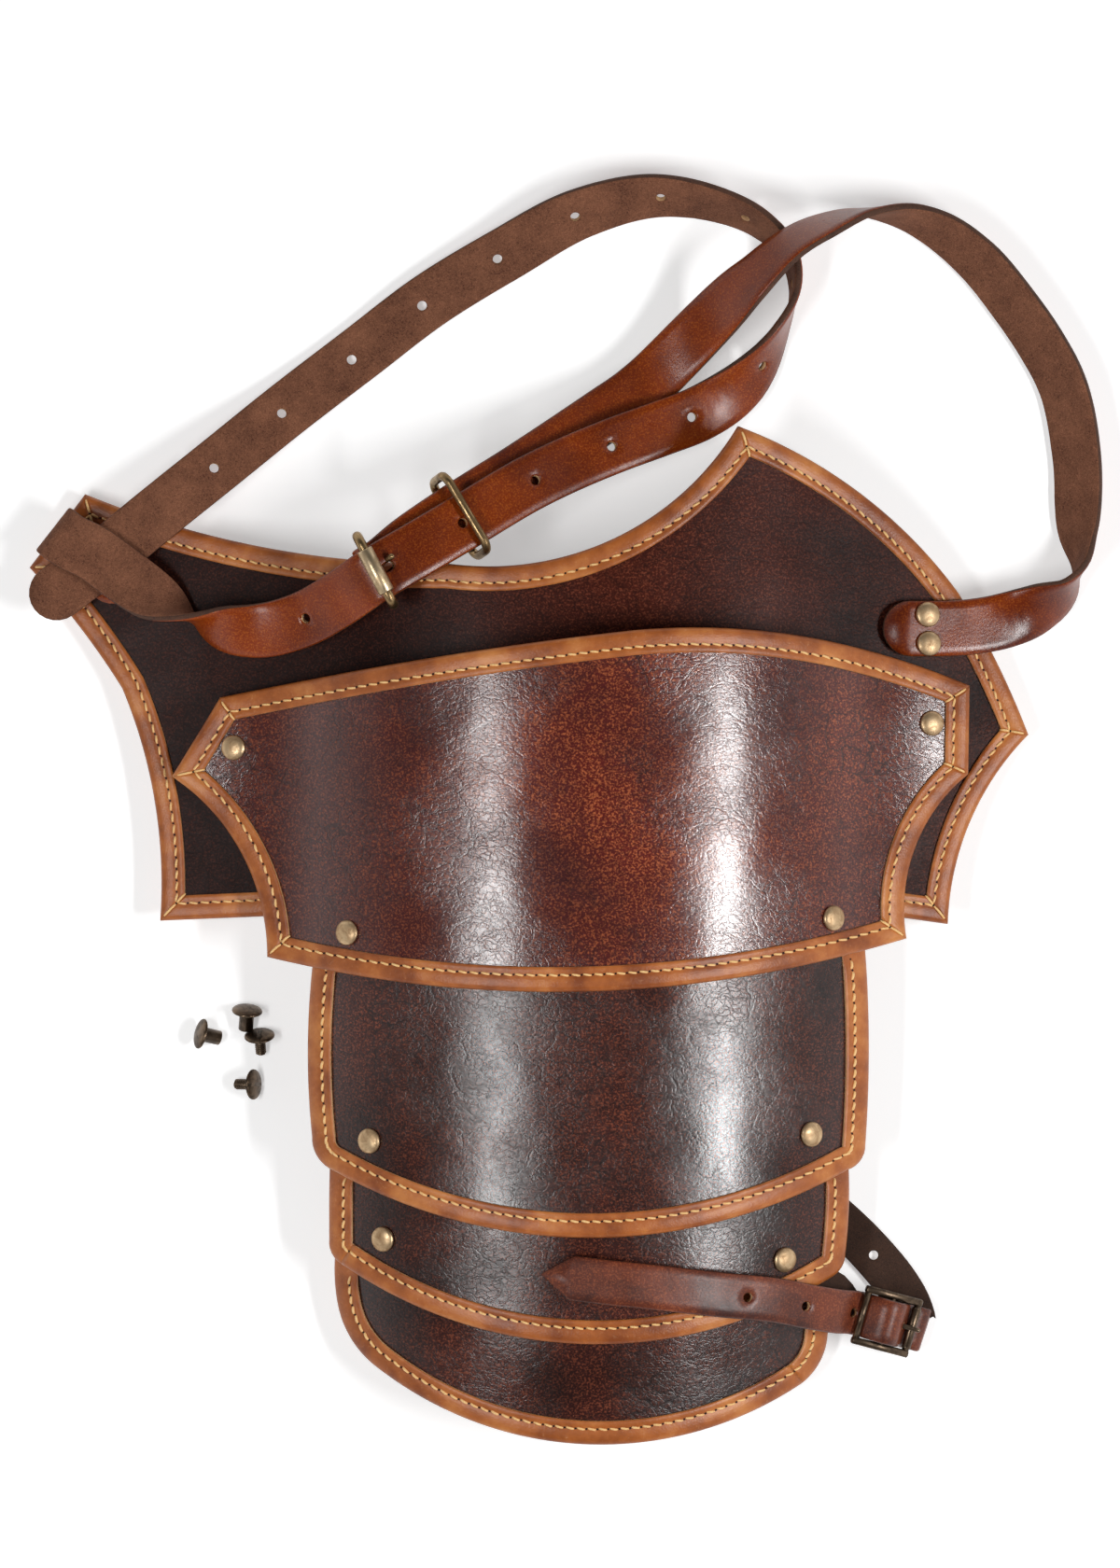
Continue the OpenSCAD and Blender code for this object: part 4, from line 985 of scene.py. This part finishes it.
# A long slot in the fold lets the tongue through.
crew_run = buckle_line.nearest(HEEL + Vector((-HEEL_WRAP_R, -HEEL_WRAP_R / 2, 0)))
crew_hole = round_hole(crew_run, CREW_R, CREW_STRETCH)
strap_sides = [strap_grain, strap_flesh, strap_edge, punched_rim]
for node, line, holes in (("long_strap", long_line, long_holes), ("buckle_strap", buckle_line, [crew_hole])):
    verts, faces, slots = strap_mesh(line, holes)
    strap = smooth_object(node + "_hide", verts, faces, strap_sides, slots)
    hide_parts(node)
    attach(strap, "shoulder")

# The straps are riveted to the plate with the same brass caps, set on the strap's face.
# The long strap's two are low, as its free end lies over them.
for name, rise, high, places in (("strap_rivet", STRAP_T + 2, CAP_H, [(131.3, 68.7), (131.7, 58.3)]),
                                 ("long_strap_rivet", STRAP_T + 2.05, 0.75, [(-167, 93), (-172.5, 85.5)])):
    set_caps(name, PLATE._replace(crest=PLATE.crest + rise), "shoulder", high, places)

# Chest buckle and keeper
# A heel-bar buckle bent from brass wire, with a rolled brass tube that turns on its far bar
# and a wire tongue bent round its heel bar. A second wire ring keeps both straps together.
WIRE_D = 3.6
WIRE_LEN = 27.0
WIRE_RISE = 15.0
CORNER_R = 4.0
ROLLER_D = 5.8
ROLLER_LEN = 17.0
KEEPER_D = 3.2
KEEPER_LEN = 30.7
KEEPER_RISE = 15.5
roller_brass = aged_metal("rubbed_roller_brass", "#C9B392", "#98805F", 0.42, 5)
buckle_brass = aged_metal("antiqued_buckle_brass", "#A88D66", "#665138", 0.34, 9)


def tube(points, radii, closed=False, sides=18):
    """A round bar along points, with a radius at each."""
    rings, normal = [], None
    n = len(points)
    for i, point in enumerate(points):
        before = points[i - 1] if closed or i > 0 else point
        after = points[(i + 1) % n] if closed or i < n - 1 else point
        along = (after - before).normalized()
        if normal is None:
            normal = along.orthogonal()
        normal = (normal - along * normal.dot(along)).normalized()
        side = along.cross(normal)
        rings.append([point + (normal * math.cos(a) + side * math.sin(a)) * radii[i] for a in turns(sides)])
    return skin(rings, closed)


def wire_ring(length, rise, diameter, low):
    """A closed ring of wire in the YZ plane with round corners. Its lower bar is at height low."""
    r = CORNER_R
    points = []
    for cy, cz, start in ((1, 0, -90), (1, 1, 0), (-1, 1, 90), (-1, 0, 180)):
        for k in range(9):
            a = math.radians(start + 90 * k / 8)
            points.append(Vector((0, cy * (length / 2 - r) + r * math.cos(a),
                                  low + (rise - r if cz else r) + r * math.sin(a))))
    dense = []
    for a, b in zip(points, points[1:] + points[:1]):
        steps = max(1, round((b - a).length / 1.5))
        dense += [a.lerp(b, k / steps) for k in range(steps)]
    return tube(dense, [diameter / 2] * len(dense), closed=True)


def rolled_tube(inner, outer, length):
    """A roller: a tube rolled from sheet, with rounded ends and its seam left open a hair."""
    n = 48
    seam = math.radians(5)
    half = length / 2
    ring = [(inner, -half + 0.3), (inner + 0.2, -half), (outer - 0.3, -half), (outer, -half + 0.35),
            (outer, half - 0.35), (outer - 0.3, half), (inner + 0.2, half), (inner, half - 0.3)]
    spread = [seam / 2 + (2 * math.pi - seam) * q / n for q in range(n + 1)]
    return skin([[Vector((r * math.cos(a), y, r * math.sin(a))) for r, y in ring] for a in spread])


def wire_tongue(eye_r, wire_r, reach, lean, tip_r):
    """A tongue: wire bent round the heel bar, then straight and tapered to a round tip."""
    out = math.radians(lean)
    way = Vector((math.cos(out), 0, math.sin(out)))
    rise = Vector((-way.z, 0, way.x)) * eye_r
    bend = [out - math.pi / 2 - math.radians(285) * (1 - k / 14) for k in range(15)]
    points = [Vector((math.cos(a), 0, math.sin(a))) * eye_r for a in bend]
    radii = [wire_r] * 15
    root = points[-1]
    for k in range(1, 13):
        s = reach * k / 12
        points.append(root + way * s + rise * min(1.0, s / (3 * eye_r)))
        radii.append(wire_r + (tip_r - wire_r) * k / 12)
    for forward, share in ((0.6, 0.75), (0.35, 0.3)):
        points.append(points[-1] + way * tip_r * forward)
        radii.append(tip_r * share)
    return tube(points, radii, sides=14)


# The bar's direction in plan. The tongue sits a little off the bar's middle and leans on the roller.
BAR_AZ = 118
TONGUE_OFF = 1.5
TONGUE_LEAN = 55
TONGUE_REACH = 13.0
KEEPER_AT = (-35.8, 103.4)
at_heel = Matrix.Translation(HEEL) @ Matrix.Rotation(math.radians(BAR_AZ - 90), 4, "Z")
# The roller's seam faces the strap.
at_far_bar = at_heel @ Matrix.Translation((0, -0.5, WIRE_RISE)) @ Matrix.Rotation(math.pi / 2, 4, "Y")
at_tongue = at_heel @ Matrix.Translation((0, TONGUE_OFF, 0))
at_keeper = (Matrix.Translation((*KEEPER_AT, top_z(PLATE, *KEEPER_AT) - 1.94))
             @ Matrix.Rotation(math.radians(31), 4, "Z") @ Matrix.Rotation(math.radians(21), 4, "Y"))
frame_wire = wire_ring(WIRE_LEN, WIRE_RISE, WIRE_D, 0)
roller = rolled_tube(WIRE_D / 2 + 0.1, ROLLER_D / 2, ROLLER_LEN)
tongue = wire_tongue(WIRE_D / 2 + 1.25, 1.2, TONGUE_REACH, TONGUE_LEAN, 1.05)
keeper = wire_ring(KEEPER_LEN, KEEPER_RISE, KEEPER_D, -KEEPER_RISE / 2)
for node, body, part, metal in (
        ("chest_buckle_frame", "chest_frame", moved(at_heel, frame_wire), buckle_brass),
        ("chest_buckle_roller", "chest_roller", moved(at_far_bar, roller), roller_brass),
        ("chest_buckle_tongue", "chest_tongue", moved(at_tongue, tongue), buckle_brass),
        ("strap_keeper", "keeper", moved(at_keeper, keeper), buckle_brass)):
    piece = smooth_object(node + "_metal", *part, [metal])
    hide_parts(node)
    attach(piece, body)

# Arm straps
# A narrower pair of darker leather hangs from the cuff's rivets: a short one folded round
# the buckle, and a long one, pointed and punched, that goes behind the arm and through it.
ARM_W = 16.0
ARM_T = 2.2
ARM_BUCKLE_T = 1.6
ARM_HOLE_R = 1.7
ARM_HOLE_PITCH = 24.0
ARM_CREW_R = 1.9
ARM_CREW_STRETCH = 5
ARM_CENTRE = Vector((117, -184.9, 15))
ARM_AZ = -16
ARM_TILT = 20
ARM_HALF = 9.95
ARM_FOLD_R = 2.7
at_arm_buckle = (Matrix.Translation(ARM_CENTRE) @ Matrix.Rotation(math.radians(ARM_AZ), 4, "Z")
                 @ Matrix.Rotation(math.radians(ARM_TILT), 4, "Y"))


def in_arm_buckle(thick, spots):
    """Rows of a strap's route given in the arm buckle's own directions: across it and up."""
    places = [at_arm_buckle @ Vector((across, 0, up)) for across, up in spots]
    return [(p.x, p.y, p.z - thick / 2, ARM_AZ + 90, 180) for p in places]


ARM_ROWS = (
    over(THIRD, [(-51, -154.7, -13.79, 90, 189), (-57, -154.5, -14.2, 90, 189),
                 (-62, -154.4, -14.72, 90, 189), (-67, -154, -15.5, 90, 186)])
    + [(-70.5, -153.6, 10.3, 90, 182), (-70.5, -153.3, 5.5, 90, 180), (-67, -153, 1.9, 90, 180),
       (-60, -152.5, 0.5, 91, 180), (-50, -151, 0.3, 93, 180), (0, -145, 0.3, 96, 180),
       (50, -138, 0.3, 96, 180), (80, -138.5, 0.3, 78, 180), (94, -144.5, 0.3, 56, 180),
       (103, -152, 0.3, 46, 180), (113.5, -162.7, 0.3, 43, 180), (121, -172, 0.3, 42, 180),
       (125.3, -179.3, 0.4, 46, 180), (127.2, -184.8, 0.9, 58, 180)]
    + fold_rows((127.9, -187.9), -18, ARM_FOLD_R, 1 + ARM_FOLD_R, 72, 180, -90, 90)
    + in_arm_buckle(ARM_T, [(ARM_HALF, -3.6), (8.2, -2.9), (6.7, -1.2), (4.9, 1.4), (2.8, 3.8), (0, 4.7),
                            (-2.8, 3.8), (-5, 1.4), (-7.1, -0.9), (-8.5, -2.5), (-ARM_HALF, -2.8)])
    + over(CUFF, [(99.5, -180.8, 16.64, 80, 180), (88, -178.4, 15.24, 81, 180), (77.7, -176, 13.99, 81, 180),
                  (56.7, -173.3, 11.86, 82, 180), (33, -170.3, 10.36, 82, 180), (13, -168, 10.04, 81.5, 180),
                  (4, -166.8, 10.5, 81.5, 180)]))
ARM_BUCKLE_ROWS = (
    over(THIRD, [(66, -157.2, -7.16, 76, 188), (70.5, -159.5, -7.39, 76, 188), (74.5, -161.3, -7.55, 76, 188),
                 (80, -163.6, -7.85, 75, 187), (86, -166.7, -7.95, 75, 184), (91, -170, -8.2, 75, 181),
                 (95.5, -173.3, -7.92, 75, 180), (98.5, -175.2, -7.62, 75, 180)])
    + in_arm_buckle(ARM_BUCKLE_T, [
        (-13, -9.2), (-9.6, -6), (-5.9, -3.3), (-3.4, -0.4), (-2, 1.25), (0, 2.35), (1.66, 1.66), (2.35, 0),
        (1.66, -1.66), (0, -2.35), (-2.3, -3.7), (-4.9, -5.4), (-8.6, -8)]))

arm_grain = grain_leather("arm_strap_grain", "#3A1710", "#70331F", "#96502F", 22, 0.8, (0.34, 0.66),
                          ((0.1, -0.17, 0.03), 0.3, 0.7), 0.3, 0.36, 0.4)
arm_flesh = fibrous_leather("arm_strap_flesh", "#24150E", "#4A3022", 0.6, 0.88)
arm_edge = fibrous_leather("arm_strap_edge", "#1C100A", "#452A1C", 0.5, 0.7)
arm_line = StrapLine(ARM_ROWS, ARM_W, ARM_T)
arm_tongue_run = arm_line.nearest(at_arm_buckle @ Vector((5.5, 0, 0.5)))
arm_holes = [round_hole(arm_tongue_run + k * ARM_HOLE_PITCH, ARM_HOLE_R) for k in (-2, 0, 1, 2, 3)]
short_line = StrapLine(ARM_BUCKLE_ROWS, ARM_W - 1, ARM_BUCKLE_T)
crew_run = short_line.nearest(at_arm_buckle @ Vector((2.35, 0, 0)))
crew_hole = round_hole(crew_run, ARM_CREW_R, ARM_CREW_STRETCH)
for node, line, holes in (("arm_strap", arm_line, arm_holes), ("arm_buckle_strap", short_line, [crew_hole])):
    verts, faces, slots = strap_mesh(line, holes, pointed=node == "arm_strap")
    strap = smooth_object(node + "_hide", verts, faces, [arm_grain, arm_flesh, arm_edge, punched_rim], slots)
    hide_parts(node)
    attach(strap, "third_lame")

# Arm buckle
# A square cast buckle with a middle bar, blackened to a dark bronze, its corners rounded by
# tumbling, with a small roller on its far bar and a wire tongue on the middle one.
ARM_BAR = 2.6
ARM_FRAME_W = 19.0
ARM_ROLLER_D = 3.8
ROLLER_PLAY = 0.22
ARM_ROLLER_LEN = 15
ARM_TONGUE_LEAN = 18.5
ARM_TONGUE_REACH = 11.8
dark_bronze = aged_metal("blackened_bronze", "#6B5A4A", "#2E2620", 0.38, 4)


def square_bar(a, b, width, chamfer=0.45):
    """A square bar from a to b with broken edges and ends."""
    along = (b - a).normalized()
    side = Vector((0, 0, 1)).cross(along).normalized()
    up = along.cross(side)
    h, c = width / 2, chamfer
    outline = [(h, h - c), (h - c, h), (c - h, h), (-h, h - c),
               (-h, c - h), (c - h, -h), (h - c, -h), (h, c - h)]
    rings = ((a, 1 - c / h), (a + along * c, 1), (b - along * c, 1), (b, 1 - c / h))
    return skin([[spot + side * x * k + up * y * k for x, y in outline] for spot, k in rings])


def arm_frame():
    """Three round bars between two square ones."""
    half, end = ARM_FRAME_W / 2, ARM_HALF + ARM_BAR / 2
    bars = [tube([Vector((x, y, 0)) for y in (-half, half)], [ARM_BAR / 2] * 2)
            for x in (-ARM_HALF, 0, ARM_HALF)]
    ends = [square_bar(Vector((-end, y, 0)), Vector((end, y, 0)), ARM_BAR) for y in (-half, half)]
    return joined(bars + ends)


at_arm_roller = at_arm_buckle @ Matrix.Translation((ARM_HALF, 0, 0))
arm_roller = rolled_tube(ARM_BAR / 2 + 0.1, ARM_ROLLER_D / 2 - ROLLER_PLAY, ARM_ROLLER_LEN)
arm_tongue = wire_tongue(ARM_BAR / 2 + 0.85, 0.95, ARM_TONGUE_REACH, ARM_TONGUE_LEAN, 0.8)
for node, body, part in (("arm_buckle_frame", "arm_frame", moved(at_arm_buckle, arm_frame())),
                         ("arm_buckle_roller", "arm_roller", moved(at_arm_roller, arm_roller)),
                         ("arm_buckle_tongue", "arm_tongue", moved(at_arm_buckle, arm_tongue))):
    piece = smooth_object(node + "_metal", *part, [dark_bronze])
    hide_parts(node)
    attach(piece, body)

# Spare screws
# Two screw posts and two slotted screws of the same blackened bronze lie by the armour.
# They take the arm strap's place on the cuff. Each rests on its head's rim and its end.
HEAD_D = 11.0
HEAD_H = 1.8
HEAD_RIM = 0.45
POST_D = 5.3
POST_LEN = 7.0
SHANK_D = 4.0
THREAD_PITCH = 0.8
THREAD_DEPTH = 0.34
NECK_LEN = 1.2
SLOT_HALF = 0.6
SLOT_DEPTH = 1
# Each one's x, y and heading, in millimetres and degrees.
POST_PLACES = [(-129.3, -82, -14), (-113, -74, -95)]
SCREW_PLACES = [(-108.5, -83, -86), (-111, -100.2, 180)]


def domed_head(r):
    """A head with a thin rim, domed, down to its shank's root at height 0."""
    rise = HEAD_H - HEAD_RIM
    quarter = [math.pi / 2 * i / 8 for i in range(8)]
    return ([(r, 0.0), (HEAD_D / 2 - 0.15, 0.0), (HEAD_D / 2, 0.15)]
            + [(HEAD_D / 2 * math.cos(a), HEAD_RIM + rise * math.sin(a)) for a in quarter] + [(0, HEAD_H)])


def post_shape():
    """A post: a bored barrel with broken edges under a domed head."""
    bore, r = SHANK_D / 2 + 0.1, POST_D / 2
    wall = [(0, -1.0), (bore, -1.0), (bore, 0.3 - POST_LEN), (bore + 0.2, -POST_LEN), (r - 0.2, -POST_LEN),
            (r, 0.2 - POST_LEN)]
    return lathe(wall + domed_head(r))


def screw_shape():
    """A screw whose thread is a wave wound round its shank, under a plain neck and a domed head."""
    levels = 45
    rings = []
    for k in range(levels + 1):
        z = POST_LEN * (k / levels - 1)
        end = 0.4 * max(0.0, 1 - (z + POST_LEN) / 0.5)
        rings.append([])
        for a in turns(32):
            phase = (z / THREAD_PITCH - a / (2 * math.pi)) % 1.0
            depth = 0.0 if z > -NECK_LEN else THREAD_DEPTH * (1 - abs(2 * phase - 1))
            r = SHANK_D / 2 - depth - end
            rings[-1].append(Vector((r * math.cos(a), r * math.sin(a), z)))
    return joined([skin(rings), lathe([(0, 0.0)] + domed_head(SHANK_D / 2))])


def lying(place, diameter, part):
    """Lays a post or screw on the table on its head's rim and its end. place is x, y and heading."""
    lean = math.atan((HEAD_D - diameter) / 2 / POST_LEN)
    spin = Matrix.Rotation(math.radians(place[2]), 4, "Z") @ Matrix.Rotation(lean - math.pi / 2, 4, "Y")
    return moved(Matrix.Translation((place[0], place[1], HEAD_D / 2 * math.cos(lean))) @ spin, part)


posts = joined([lying(place, POST_D, post_shape()) for place in POST_PLACES])
screws = joined([lying(place, SHANK_D, screw_shape()) for place in SCREW_PLACES])
# The slots are sawn across both screws' heads.
deep = HEAD_H - SLOT_DEPTH
cut_face = [(-SLOT_HALF, deep), (SLOT_HALF, deep), (SLOT_HALF, deep + 2), (-SLOT_HALF, deep + 2)]
saw = skin([[Vector((x, y, z)) for y, z in cut_face] for x in (-HEAD_D, HEAD_D)])
blades = joined([lying(place, SHANK_D, saw) for place in SCREW_PLACES])
blade = smooth_object("slot_blade", *blades, [dark_bronze])
for node, part in (("spare_posts", posts), ("spare_screws", screws)):
    piece = smooth_object(node + "_metal", *part, [dark_bronze])
    if node == "spare_screws":
        cut = piece.modifiers.new("slot", "BOOLEAN")
        cut.operation = "DIFFERENCE"
        cut.object = blade
        cut.solver = "EXACT"
        cut.use_self = True
        bpy.context.view_layer.objects.active = piece
        bpy.ops.object.modifier_apply(modifier="slot")
        bpy.data.objects.remove(blade)
    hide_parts(node)
    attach(piece, "shoulder")
